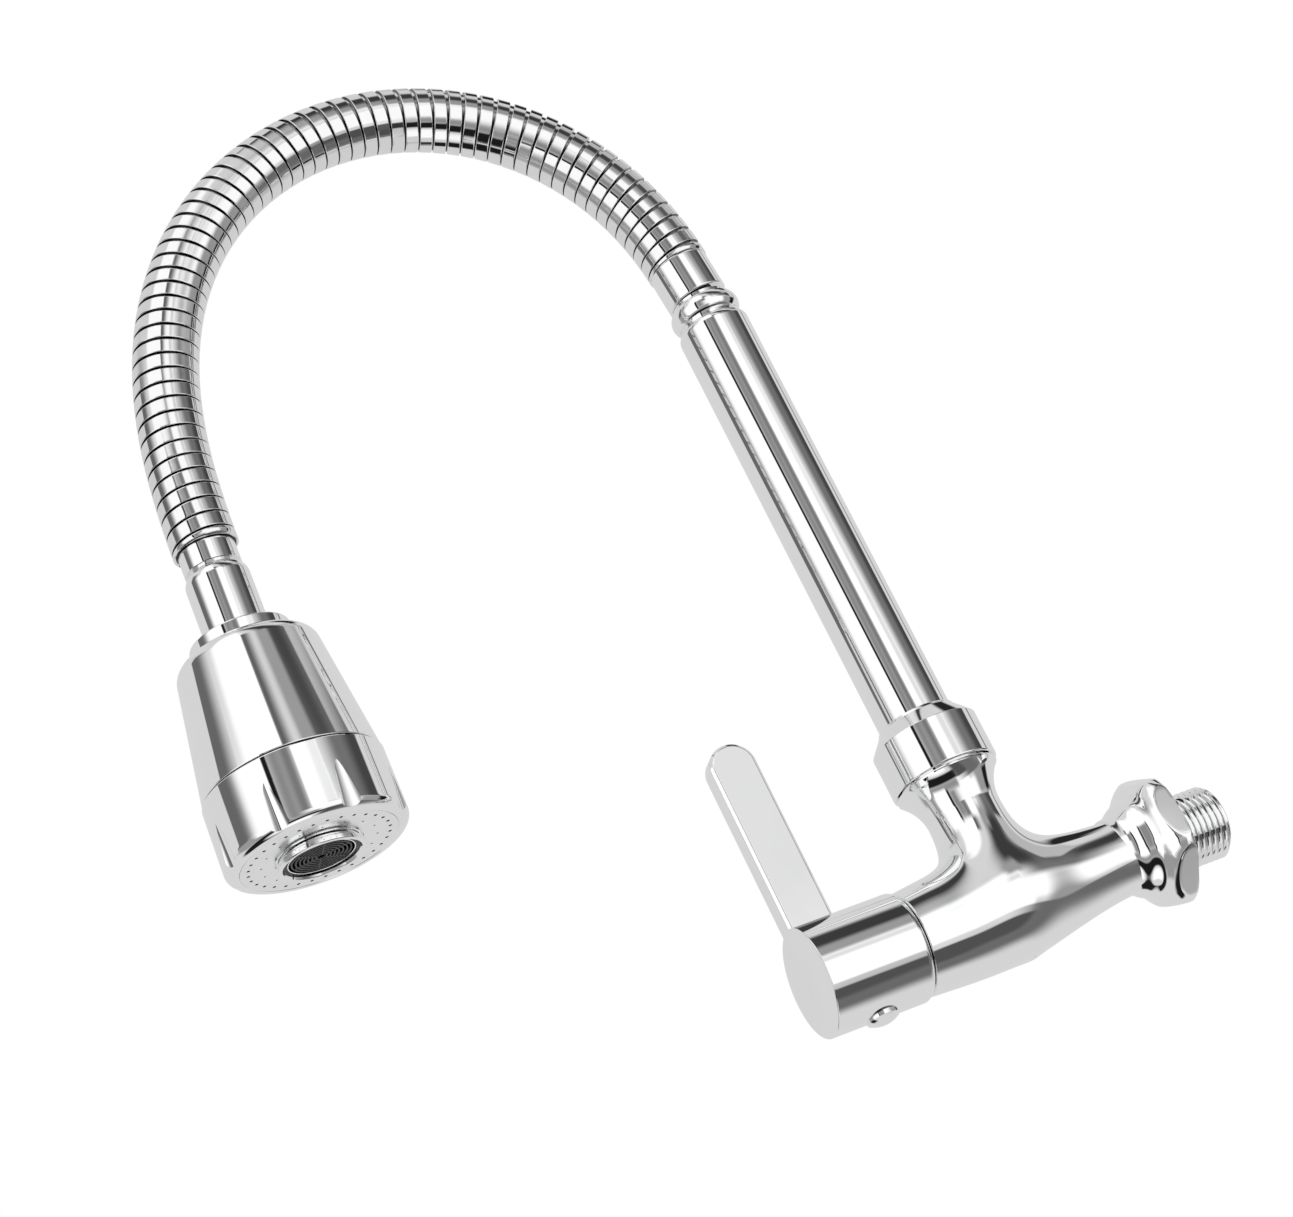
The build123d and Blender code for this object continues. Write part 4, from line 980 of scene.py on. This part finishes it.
class PieceOperator:
    """What every piece's operator shares."""
    bl_options = {"REGISTER", "UNDO"}

    def execute(self, context):
        """Build the piece, and fail loudly if it can't be built."""
        self.build(context.scene)
        return {"FINISHED"}


FINISHES = {}
TREES = {}


class TAP_OT_finishes(PieceOperator, bpy.types.Operator):
    """Make the finishes and give the hidden working parts theirs"""
    bl_idname = "tap.finishes"
    bl_label = "Finishes"

    def build(self, scene):
        FINISHES.update(make_finishes(scene.tap_look))
        by_slot = {"bare_brass": "brass", "ceramic": "ceramic", "seal_rubber": "rubber",
                   "slip_nylon": "nylon", "steel": "steel", "inner_tube": "hose_rubber",
                   "aerator_plastic": "black_plastic", "aerator_mesh": "black_plastic",
                   "hose_strip": "strip_chrome", "chromed_tube": "tube_chrome",
                   "plated_plastic": "plastic_chrome", "face_plastic": "face_chrome"}
        for part in frame["record"]["subparts"]:
            look = FINISHES[by_slot.get(part["material_slot"], "cast_chrome")]
            node = frame["nodes"][part["node"]]
            node.data.materials.clear()
            node.data.materials.append(look)


class TAP_OT_casting(PieceOperator, bpy.types.Operator):
    """Build the blended body, its hexagon flange and its threaded stub"""
    bl_idname = "tap.casting"
    bl_label = "Body casting"

    def build(self, scene):
        sizes = in_mm(scene.tap_casting)
        chrome = FINISHES["cast_chrome"]
        body = body_casting(sizes, chrome)
        flange = grid_solid("hexagon_flange", INLET, flange_points(sizes), chrome, 20.0)
        depth = 0.64 * sizes.pitch
        core = sizes.thread / 2 - depth
        bore, face = sizes.bore / 2, 2
        stub = turned("wall_stub", INLET, [
            (bore, face), (core, face), (core, -sizes.stub + 0.6, 0.2), (core - 0.8, -sizes.stub, 0.2),
            (bore, -sizes.stub, 0.2)], chrome)
        for piece in (body, flange, stub):
            settle(piece, "valve", "chromed_brass", "valve_body")
        self.thread(sizes, core, depth, chrome)

    def thread(self, sizes, core, depth, chrome):
        """Wind the pipe thread's ridge round the stub, and drop the tree's plain core."""
        half, crest, sunk, margin = 0.5 * sizes.pitch, 0.07 * sizes.pitch, 0.15, 0.5
        side = [(-sunk, half), (0, half * 0.98), (depth - 0.12, crest * 1.6), (depth, crest * 0.6)]
        section = [(x, -y) for x, y in side] + side[::-1]
        ridge = wire("thread_section", [(x * MM, y * MM, 0) for x, y in section], True)
        plug = wire("thread_core", [(0.001 * math.cos(a), 0.001 * math.sin(a), 0)
                                    for a in np.arange(6) * TAU / 6], True)
        low, high = margin, sizes.stub - margin
        line = wire("thread_line", [(0, low * MM, 0), (0, high * MM, 0)], False)
        TREES["wound"].apply(line, Section=ridge, Core_Section=plug, Turns=(high - low) / sizes.pitch,
                             Steps_per_Turn=72, Winding_Radius=core * MM, Start_Angle=2.2, Taper_Turns=0.4,
                             Material=chrome)
        piece = evaluated(line, "wall_thread", 25.0, ridge, plug)
        with editing(piece.data) as work:
            inner = [v for v in work.verts if math.hypot(v.co.x, v.co.z) < sizes.bore / 2 * MM]
            bmesh.ops.delete(work, geom=inner, context="VERTS")
        settle(piece, "valve", "chromed_brass")


class TAP_OT_trees(PieceOperator, bpy.types.Operator):
    """Build the Geometry Nodes trees of the wound, drilled and nested pieces"""
    bl_idname = "tap.trees"
    bl_label = "Node trees"

    def build(self, scene):
        TREES["wound"] = wound_tree()
        TREES["drilled"] = drilled_tree()
        TREES["nested"] = nested_tree()


class TAP_OT_riser(PieceOperator, bpy.types.Operator):
    """Turn the union nut, the riser tube, the bead and the upper sleeve"""
    bl_idname = "tap.riser"
    bl_label = "Riser"

    def build(self, scene):
        sizes = in_mm(scene.tap_riser)
        tube = FINISHES["tube_chrome"]
        r, bore, seat = sizes.nut / 2, 13.38, 49.7
        lip = sizes.tube / 2 + 0.3
        side = NUT_BASE + sizes.nut_side
        top = side + sizes.nut_cone
        settle(turned("union_nut_shell", RISER, [
            (bore, NUT_BASE), (r, NUT_BASE, 0.5), (r, side, 0.3), (lip + 0.7, top, 0.3),
            (lip + 0.4, top + 0.8, 0.2), (lip, top + 0.8, 0.15), (lip, seat), (bore, seat)],
            FINISHES["cast_chrome"]), "valve", "chromed_brass", "union_nut")
        r, wall, mouth, roll = sizes.tube / 2, 1.1, 9.0, 2.4
        settle(turned("riser_pipe", RISER, [
            (r - wall, TUBE_BASE), (r, TUBE_BASE), (r, RISER_TOP - roll - 0.2),
            *tangent_arc((r, RISER_TOP - roll), (mouth, RISER_TOP), (0, 1)), (mouth - 0.15, RISER_TOP),
            (mouth - 0.15, RISER_TOP - roll), (r - wall, RISER_TOP - roll - 1.0)],
            tube), "spout", "chromed_tube", "riser_tube")
        self.connector(sizes, tube)
        r = sizes.sleeve / 2
        settle(turned("upper_sleeve", FERRULE, [
            (SLEEVE_BORE, 0.9), (r, 0.9, 0.45), (r, FERRULE_LEN, 0.3), (SLEEVE_BORE, FERRULE_LEN)],
            tube), "spout", "chromed_brass", "upper_ferrule")

    def connector(self, sizes, tube):
        """Raised bead between its two grooves."""
        low, high, edge = CONNECTOR_BASE, CONNECTOR_BASE + 5.6, 9.3
        bore, root, root_low, root_high, groove = 3.5, 9.45, 175.0, 187.0, 8.8
        settle(turned("connector_bead", RISER, [
            (bore, root_low), (root, root_low), (root, root_high), (groove, root_high), (groove, low),
            *arc_through((edge, low), (sizes.bead / 2, (low + high) / 2), (edge, high), 24),
            (groove - 0.6, high), (groove - 0.6, FERRULE_BASE + 0.2), (bore, FERRULE_BASE + 0.2)],
            tube), "spout", "chromed_tube", "hose_connector")


class TAP_OT_handle(PieceOperator, bpy.types.Operator):
    """Build the lever hub with its flat bevelled blade, and the domed plug below it"""
    bl_idname = "tap.handle"
    bl_label = "Lever handle"

    def build(self, scene):
        sizes = in_mm(scene.tap_handle)
        chrome = FINISHES["cast_chrome"]
        r, seat, screw, seat_end, screw_end = sizes.hub / 2, 9.5, 4.1, 88.0, 108.0
        base = BODY_LEN + 0.3
        end = base + sizes.hub_length
        hub = turned("handle_hub", HANDLE, [
            (seat, base), (r, base, 1.8), (r, end, 0.35), (0, end), (0, screw_end), (screw, screw_end),
            (screw, seat_end), (seat, seat_end)], chrome)
        for piece in (hub, self.blade(sizes, end, chrome)):
            settle(piece, "handle", "chromed_zinc", "control_handle")
        down = Axis((0, -(end - 14.5), -HANDLE_DROP), (0, 0, -1))
        tip, pin, half = 0.001, 3.0, sizes.plug / 2
        dome = tangent_arc((tip, r + 2.0), (half, r + 0.45), (1, 0), 20)
        settle(turned("plug_cap", down, [
            (tip, r - 3), (pin, r - 3), (pin, r - 1), (half, r - 1), (half, r + 0.4), *reversed(dome)],
            chrome, 96), "handle", "plug_chrome", "screw_plug")

    def blade(self, sizes, end, chrome):
        """Flat blade with a half round top and a bevel round both faces."""
        half, thick, bevel = sizes.lever_width / 2, sizes.lever_thick / 2, sizes.bevel
        middle = end - 0.01 - half
        low, crown = 12.5, sizes.lever_top + HANDLE_DROP - half
        edge = rounded([(half, thick), (bevel, thick, 0.5), (0, thick - bevel, 0.35),
                        (0, bevel - thick, 0.35), (bevel, -thick, 0.5), (half, -thick)], 7, 0.05)
        points = []
        for inset, across in edge:
            reach = max(half - inset, 0.0)
            line = [(reach, low), (reach, crown - 0.1), *arc_points((0, crown), reach, 0, math.pi, 48),
                    (-reach, crown - 0.1), (-reach, low)]
            points += [(across, -(middle + u), v - HANDLE_DROP) for u, v in line]
        rows = len(line)
        starts = range(0, len(points), rows)
        faces = [(a, a + 1, a + rows + 1, a + rows)
                 for start in starts[:-1] for a in range(start, start + rows - 1)]
        faces.append([*starts] + [start + rows - 1 for start in reversed(starts)])
        return solid("handle_blade", np.array(points) * MM, faces, chrome, 20.0)


class TAP_OT_hose(PieceOperator, bpy.types.Operator):
    """Wind the goose neck's strip over its lower layer, one piece across each of its bends"""
    bl_idname = "tap.hose"
    bl_label = "Goose neck"

    def build(self, scene):
        sizes = in_mm(scene.tap_hose)
        pitch = LENGTH / 5
        outer = sizes.tube / 2
        floor = outer - sizes.step
        angles = np.arange(64) * TAU / 64
        for joint in range(1, LENGTHS):
            entry, exit_ = joint == 1, joint == LENGTHS - 1
            low = 0.0 if entry else (joint - 0.5) * LENGTH
            high = LENGTHS * LENGTH if exit_ else (joint + 0.5) * LENGTH
            first, last = low - (pitch if entry else 0.0), high + (pitch if exit_ else 0.0)
            radius = LENGTH / (hose_bend(joint - 1) / 2 + hose_bend(joint) / 2)
            section = strip_section(pitch * (1 - outer / radius) - sizes.gap, sizes.step, sizes.edge)
            # painted shade: the strip's sides below its top are marked to be darkened near-black in the
            # gaps
            strip = wire("strip_section", [(x * MM, y * MM, 0) for x, y in section], True,
                         [x < sizes.step - 0.2 for x, y in section])
            opening = sizes.gap + pitch * outer / radius * (1 + np.cos(angles))
            # painted shade: the lower layer is marked darker where the gap between turns is narrow
            ring = wire("floor_section", [(floor * MM * math.cos(a), floor * MM * math.sin(a), 0)
                                          for a in angles], True, np.clip((1.15 - opening) / 0.5, 0, 1))
            line = wire("strip_line", [hose_point(u) for u in np.linspace(first, last, 97)], False)
            TREES["wound"].apply(line, Section=strip, Core_Section=ring, Turns=(last - first) / pitch,
                                 Steps_per_Turn=48, Winding_Radius=floor * MM, Waviness=0.4,
                                 Start_Angle=TAU * first / pitch, Material=FINISHES["strip_chrome"])
            piece = evaluated(line, "hose_turns_%02d" % joint, 32.0, strip, ring)
            if entry:
                trim(piece, hose_point(low), hose_point(low - 1.0))
            if exit_:
                trim(piece, hose_point(high), hose_point(high + 1.0))
            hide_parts("hose_segment_%02d" % (joint + 1), *(["hose_segment_01"] if entry else []))
            start, end = (hose_point((joint + side) * LENGTH) for side in (0.42, -0.42))
            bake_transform(piece)


def strip_section(width, height, edge):
    """Closed section of the strip: a flat band with rounded edges that turn down to the layer below."""
    half, sunk = width / 2, 0.35
    return rounded([(-sunk, -half), (height, -half, edge), (height, half, edge), (-sunk, half)], 4, 0.12)


def trim(piece, place, outside):
    """Cut a piece square at a point, away from what lies outside, and close the cut."""
    with editing(piece.data) as work:
        cut_away(work, place, np.subtract(outside, place), 1e-7)
        bmesh.ops.holes_fill(work, edges=[e for e in work.edges if e.is_boundary], sides=0)


class TAP_OT_head(PieceOperator, bpy.types.Operator):
    """Turn the lower sleeve, the bell, the collar and the shell of the spray head"""
    bl_idname = "tap.head"
    bl_label = "Spray head"

    def build(self, scene):
        sizes = in_mm(scene.tap_head)
        plated = FINISHES["plastic_chrome"]
        tube = FINISHES["tube_chrome"]
        r, length = 8.1, 6.4
        settle(turned("lower_sleeve", HEAD, [
            (SLEEVE_BORE, 0), (r, 0, 0.25), (r, length), (SLEEVE_BORE, length)],
            tube), "flex_12", "chromed_brass", "lower_ferrule")
        r, brow, bore, stem, foot_r = sizes.bell / 2, 6.8, 3.2, 6.5, 8.2
        shoulder = tangent_arc((r, BELL_BASE + 3.6), (brow, BELL_BASE), (0, -1), 20)
        stem_foot = STEM_END - 2.4
        settle(turned("neck_bell_shell", HEAD, [
            (bore, length), (brow, length), *reversed(shoulder), (r, BELL_BASE + 3.8), (r, BELL_END, 0.3),
            (stem, BELL_END), (stem, stem_foot), (foot_r, stem_foot), (foot_r, STEM_END), (bore, STEM_END)],
            tube), "flex_12", "chromed_brass", "neck_bell")
        r, bore, spigot, spigot_end = sizes.collar / 2, 6.6, 10.6, 38.0
        settle(turned("collar_ring", HEAD, [
            (bore, COLLAR_BASE), (r, COLLAR_BASE, 0.4), (r, SHELL_BASE), (spigot, SHELL_BASE),
            (spigot, spigot_end), (bore, spigot_end)],
            plated), "head", "plated_plastic", "head_collar")
        top, foot, rise = sizes.shell_top / 2, sizes.shell_foot / 2, 4.4
        crown = arc_through((r + 0.8, SHELL_BASE + 0.05), (top - 1.5, SHELL_BASE + 1.3),
                            (top, SHELL_BASE + rise), 24)
        step = unit((foot - top, SHELL_END - 0.3 - SHELL_BASE - rise)) * 0.12
        bore, core, core_seat = spigot + 0.05, 18.05, 19.25
        settle(turned("head_shell_skin", HEAD, [
            (bore, SHELL_BASE + 0.05), *crown, (top + step[0], SHELL_BASE + rise + step[1]),
            (foot, SHELL_END, 0.25), (foot - 2, SHELL_END), (core_seat, CORE_BASE + 8),
            (core, CORE_BASE + 8), (core, CORE_BASE - 0.05), (12.2, stem_foot), (bore, stem_foot)],
            plated), "head", "plated_plastic", "head_shell")


class TAP_OT_ring(PieceOperator, bpy.types.Operator):
    """Build the head's lower ring with its pointed grip flutes and rounded edge"""
    bl_idname = "tap.ring"
    bl_label = "Fluted ring"

    def build(self, scene):
        sizes = in_mm(scene.tap_head)
        count = scene.tap_look.flutes
        top, foot, edge = sizes.ring_top / 2, sizes.ring_foot / 2, 2.6
        outer = [(top - 0.3, RING_BASE), (top - 0.1, RING_BASE + 0.08), (top, RING_BASE + 0.3)]
        outer += [(top + (foot - top) * t, RING_BASE + 0.4 + (RING_END - edge - RING_BASE - 0.4) * t)
                  for t in np.linspace(0, 1, 60)]
        outer += arc_points((foot - edge, RING_END - edge), edge, 0, math.pi / 2, 26)[1:]
        lip, ledge, bore = foot - edge - 1.0, RING_END - 1.4, foot - 2.2
        inner = [(lip + 0.1, RING_END), (lip, RING_END - 0.1), (lip, ledge), (bore, ledge),
                 (bore, RING_BASE)]
        land = np.array((0.01, 0.04, 0.1, 0.2, 0.35, 0.5, 0.65, 0.82, 1.0))
        across = np.linspace(-1, 1, 21)
        shares = np.concatenate((-land[::-1], across, land))
        sides = np.repeat((-1, 0, 1), (len(land), len(across), len(land)))
        points = np.array([self.column(outer, inner, share, side, index * TAU / count, count, sizes)
                           for index in range(count) for share, side in zip(shares, sides)])
        ring = grid_solid("fluted_ring", HEAD, points, FINISHES["plastic_chrome"], 9.0)
        settle(ring, "spray_ring", "plated_plastic", "mode_ring")

    def column(self, outer, inner, share, side, turn, count, sizes):
        """One line of points down the ring, at a share of the flute or of the land on a side of it."""
        top, foot, least = sizes.ring_top / 2, sizes.ring_foot / 2, 0.004
        middle = math.radians(FLUTE_TURN) + turn
        tip = RING_END - sizes.flute_height
        line = []
        for row, (radius, height) in enumerate(outer + inner):
            spread = min(max((height - tip) / sizes.flute_height, 0.0), 1.0)
            bore = 2.0 + 3.5 * spread
            centre = (top + 2.25) * (1 - spread) + (foot - sizes.flute + 5.5) * spread
            reach = (radius ** 2 + centre ** 2 - bore ** 2) / (2 * radius * centre)
            fluted = height >= tip and row < len(outer) and reach < 1
            wide = max(math.acos(max(reach, -1.0)) if fluted else 0.0, least)
            if side:
                angle = side * (wide + (TAU / count / 2 - wide) * abs(share))
            else:
                angle = share * wide
                if wide > least:
                    depth = bore ** 2 - (centre * math.sin(angle)) ** 2
                    radius = min(radius, centre * math.cos(angle) - math.sqrt(max(depth, 0.0)))
            line.append((radius * math.cos(middle + angle), radius * math.sin(middle + angle), height))
        return line


class TAP_OT_face(PieceOperator, bpy.types.Operator):
    """Build the drilled face plate, the centre nozzle and the aerator's rings"""
    bl_idname = "tap.face"
    bl_label = "Spray face"

    def build(self, scene):
        sizes = in_mm(scene.tap_head)
        look = scene.tap_look
        hole, lip = sizes.nozzle / 2 + 0.05, sizes.ring_foot / 2 - 3.65
        top, ledge, under, foot = RING_END - 0.05, RING_END - 1.45, RING_END - 2.4, RING_END - 3.8
        seat, skirt, wall, crown = 23.45, 21.48, 1.2, 64.3
        plate = turned("face_plate", Axis((0, 0, 0), (0, 0, 1)), [
            (hole, top), (lip, top), (lip, ledge), (seat, ledge), (seat, foot), (skirt, foot),
            (skirt, crown), (skirt - wall, crown), (skirt - wall, under), (hole, under)],
            FINISHES["face_chrome"], 128)
        circle = sizes.hole_circle / 2
        TREES["drilled"].apply(
            plate, Material=FINISHES["face_chrome"], Hole_Depth=4 * MM, Height=RING_END * MM,
            Outer_Count=look.holes, Outer_Circle=circle * MM, Outer_Hole_Radius=sizes.hole / 2 * MM,
            Outer_Turn=0.0, Inner_Count=look.holes // 2, Inner_Circle=(circle - 3.6) * MM,
            Inner_Hole_Radius=sizes.hole * 0.3 * MM, Inner_Turn=0.06)
        face = evaluated(plate, "spray_face_plate", 25.0)
        face.data.transform(axis_matrix(HEAD))
        settle(face, "spray_ring", "face_plastic", "spray_face")
        r, groove, bore = sizes.nozzle / 2, sizes.nozzle / 2 - 0.8, sizes.aerator / 2 + 0.05
        inside, inlet, well, floor = r - 2.3, 3.58, NOZZLE_END - 9, NOZZLE_BASE + 2.2
        settle(turned("nozzle_cup", HEAD, [
            (inlet, NOZZLE_BASE), (r, NOZZLE_BASE), (r, RING_END - 0.7), (groove, RING_END - 0.3),
            (groove, RING_END + 0.7), (r, RING_END + 1.0, 0.2), (r, NOZZLE_END, 0.5),
            (bore + 0.4, NOZZLE_END, 0.3), (bore, NOZZLE_END - 0.7), (bore, well), (inside, well),
            (inside, floor), (inlet, floor)],
            FINISHES["plastic_chrome"]), "spray_ring", "plated_plastic", "nozzle_housing")
        rim, wall, low, high = sizes.aerator / 2 - 1.15, 0.35, NOZZLE_END - 2.4, NOZZLE_END - 0.9
        settle(turned("aerator_rim", HEAD, [
            (rim - wall, low), (rim, low), (rim, high, 0.12), (rim - wall, high, 0.12)],
            FINISHES["plastic_chrome"]), "spray_ring", "plated_plastic")
        seed = wire("screen_seed", [(0, 0, 0), (0.001, 0, 0)], False)
        TREES["nested"].apply(seed, Rings=look.rings, Outer_Radius=(sizes.aerator / 2 - 2.4) * MM,
                              Inner_Radius=1.5 * MM, Bar_Radius=0.36 * MM, Spokes=6,
                              Material=FINISHES["black_plastic"])
        rings = evaluated(seed, "aerator_rings", 40.0)
        rings.data.transform(axis_matrix(HEAD, NOZZLE_END - 1.3))
        settle(rings, "spray_ring", "aerator_mesh", "aerator_screen")


def axis_matrix(axis, along=0.0):
    """Matrix from an axis's own directions, in metres, to the frame."""
    origin = (axis.origin + axis.z * along) * MM
    return Matrix([*zip(axis.x, axis.y, axis.z, origin), (0, 0, 0, 1)])


# stage

def card_group():
    """Soft edged rectangle of sky, by the direction that its middle lies in."""
    group = shader_group(
        "Studio card",
        [("Azimuth", "Float", 0.0), ("Elevation", "Float", 0.0), ("Middle Azimuth", "Float", 0.0),
         ("Middle Elevation", "Float", 0.0), ("Half Width", "Float", 10.0), ("Half Height", "Float", 10.0),
         ("Side Softness", "Float", 5.0), ("Top Softness", "Float", 5.0)], [("Mask", "Float")])
    turn = group.math("SUBTRACT", group.inputs["Azimuth"], group.inputs["Middle Azimuth"])
    circled = group.math("FLOORED_MODULO", group.math("ADD", turn, 540.0), 360.0)
    wrapped = group.math("SUBTRACT", circled, 180.0)
    rise = group.math("SUBTRACT", group.inputs["Elevation"], group.inputs["Middle Elevation"])
    masks = []
    for half, soft, offset in (("Half Width", "Side Softness", wrapped),
                               ("Half Height", "Top Softness", rise)):
        reach = group.math("SUBTRACT", group.math("ABSOLUTE", offset), group.inputs[half])
        share = group.math("DIVIDE", reach, group.inputs[soft])
        masks.append(group.ramp(share, -0.5, 0.5, 1.0, 0.0))
    group.feed(group.outputs["Mask"], group.product(*masks))
    return group.tree


# studio cards: azimuth and elevation of the middle, half width and height, both softnesses, tone
CARDS = (
    (95, 5, 90, 28, 12, 10, 1.1),
    (110, -26, 18, 16, 8, 5, 1.1),
    (55, 55, 30, 25, 14, 14, 1.1),
    (45, -33, 48, 10, 14, 16, 0.30),
    (10, -51, 92, 9, 12, 5, 0.012),
    (20, -78, 60, 13, 20, 8, 1.1),
    (163, -15, 18, 25, 14, 16, 0.33),
    (165, 28, 38, 17, 34, 12, 0.18),
    (172, 26, 14, 15, 18, 12, 0.06),
    (142, 42, 9, 8, 14, 8, 0.09),
    (150, -61, 36, 31, 60, 4, 0.15),
    (116, -60, 18, 20, 16, 4, 0.085),
    (132, 60, 20, 31, 24, 24, 0.045),
    (-160, 20, 24, 26, 3, 8, 0.70),
    (168, 38, 12, 8, 4, 5, 0.50),
    (-155, 50, 20, 8.5, 6, 6, 0.02),
    (-169, 22, 2, 20, 3, 8, 0.12),
    (180, -8, 8, 16, 6, 8, 0.012),
    (65, 5, 13, 28, 26, 14, 0.26),
    (80, 22, 8, 10, 14, 6, 0.20),
    (104, 22, 16, 8, 2, 6, 1.1),
    (32, 3, 18, 34, 3, 10, 1.1),
    (-16, 26, 22, 24, 26, 12, 0.14),
    (-8, -15, 18, 25, 12, 12, 0.33),
    (-50, 20, 30, 30, 2, 12, 0.70),
    (86, 40, 8, 7, 16, 6, 0.12),
    (62, 42, 20, 9, 2, 6, 1.1),
    (53, 3, 3, 30, 2, 10, 0.012),
    (118, 34, 9, 9, 8, 10, 0.34),
    (113, 18, 6, 4, 6, 5, 0.80),
)

# sky between the cards, and the lamp's place and side in metres
SKY_TONE = (0.70, 0.70, 0.705, 1)
LAMP_PLACE = (0.25, -0.35, 1.1)
LAMP_SIDE = 1.2


class TAP_OT_stage(PieceOperator, bpy.types.Operator):
    """Set the pale floor, the soft light and the camera"""
    bl_idname = "tap.stage"
    bl_label = "Stage"

    def build(self, scene):
        look = scene.tap_look
        scene.view_settings.view_transform = "Standard"
        self.sky(scene)
        self.floor(look)
        light = bpy.data.lights.new("Soft lamp", "AREA")
        light.energy = look.lamp
        light.size = LAMP_SIDE
        lamp = bpy.data.objects.new("Soft lamp", light)
        scene.collection.objects.link(lamp)
        lamp.matrix_world = Matrix.Translation(LAMP_PLACE)
        lamp.visible_glossy = False
        self.camera(scene)

    def sky(self, scene):
        """White to the camera and to matt surfaces, and a studio with soft cards for reflections."""
        world = bpy.data.worlds.new("Studio")
        world.use_nodes = True
        scene.world = world
        look = Look(world.node_tree)
        group = card_group()
        place = look.add("ShaderNodeTexCoord").outputs["Generated"]
        x, y, z = look.add("ShaderNodeSeparateXYZ", place).outputs
        degrees = 180 / math.pi
        azimuth = look.product(look.math("ARCTAN2", x, look.product(y, -1.0)), degrees)
        elevation = look.product(look.math("ARCSINE", z), degrees)
        tone = SKY_TONE
        for *card, value in CARDS:
            mask = look.add("ShaderNodeGroup", azimuth, elevation, *card, node_tree=group)
            tone = look.blend(mask, tone, (value, value, value, 1))
        colour = look.blend(look.mirrored(), (1, 1, 1, 1), tone)
        background = look.tree.nodes["Background"]
        look.feed(background.inputs["Color"], colour)
        background.inputs["Strength"].default_value = 1.0

    def floor(self, look):
        """Pale floor that keeps the shadow and lets reflections see the studio."""
        material = bpy.data.materials.new("Pale floor")
        material.use_nodes = True
        shade = Look(material.node_tree)
        matt = shade.tree.nodes["Principled BSDF"]
        grain = shade.add("ShaderNodeTexNoise", Scale=30.0, Detail=3.0)
        paler = (*(min(c * 1.02, 1.0) for c in look.floor), 1)
        tint = shade.blend(grain, (*look.floor, 1), paler)
        shade.feed(matt.inputs["Base Color"], tint)
        matt.inputs["Roughness"].default_value = 0.9
        clear = shade.add("ShaderNodeBsdfTransparent")
        mix = shade.add("ShaderNodeMixShader", shade.mirrored(), matt, clear)
        shade.feed(shade.tree.nodes["Material Output"].inputs["Surface"], mix)
        mesh = bpy.data.meshes.new("Pale floor")
        half, level = 3.0, -look.floor_depth
        corners = ((-half, -half), (half, -half), (half, half), (-half, half))
        mesh.from_pydata([(*corner, level) for corner in corners], [], [(0, 1, 2, 3)])
        mesh.materials.append(material)
        new_object("pale_floor", mesh)

    def camera(self, scene):
        """Camera at the photograph's place, with its lens."""
        data = bpy.data.cameras.new("Camera")
        data.sensor_width = SENSOR_WIDTH
        data.lens = SENSOR_WIDTH * FOCAL_PIXELS / PHOTO_WIDTH
        data.clip_start = 0.01
        camera = bpy.data.objects.new("Camera", data)
        scene.collection.objects.link(camera)
        place = [c * MM for c in CAMERA_PLACE]
        camera.matrix_world = Matrix([*zip(CAMERA_RIGHT, CAMERA_UP, CAMERA_BACK, place), (0, 0, 0, 1)])
        scene.camera = camera


class TAP_PT_panel(bpy.types.Panel):
    """Lists the tap's pieces in the 3D view's sidebar"""
    bl_label = "Flexible spout tap"
    bl_idname = "TAP_PT_panel"
    bl_space_type = "VIEW_3D"
    bl_region_type = "UI"
    bl_category = "Tap"

    def draw(self, context):
        for step in STEPS:
            self.layout.operator(step.bl_idname)
        for key, group in GROUPS.items():
            box = self.layout.box()
            box.label(text=group.__doc__)
            for name in group.__annotations__:
                box.prop(getattr(context.scene, key), name)


GROUPS = {"tap_casting": CastingSizes, "tap_riser": RiserSizes, "tap_handle": HandleSizes,
          "tap_hose": HoseSizes, "tap_head": HeadSizes, "tap_look": TapLook}
STEPS = (TAP_OT_finishes, TAP_OT_trees, TAP_OT_casting, TAP_OT_riser, TAP_OT_handle, TAP_OT_hose,
         TAP_OT_head, TAP_OT_ring, TAP_OT_face, TAP_OT_stage)


def register():
    """Register the sizes, the operators and the panel."""
    for item in (*GROUPS.values(), *STEPS, TAP_PT_panel):
        bpy.utils.register_class(item)
    for key, group in GROUPS.items():
        setattr(bpy.types.Scene, key, PointerProperty(type=group))


def unregister():
    """Take the panel, the operators and the sizes away."""
    for key in GROUPS:
        delattr(bpy.types.Scene, key)
    for item in (TAP_PT_panel, *reversed(STEPS), *reversed(GROUPS.values())):
        bpy.utils.unregister_class(item)


def main():
    """Build every piece in order."""
    register()
    for step in STEPS:
        getattr(bpy.ops.tap, step.bl_idname.split(".")[1])()


if __name__ == "__main__":
    main()
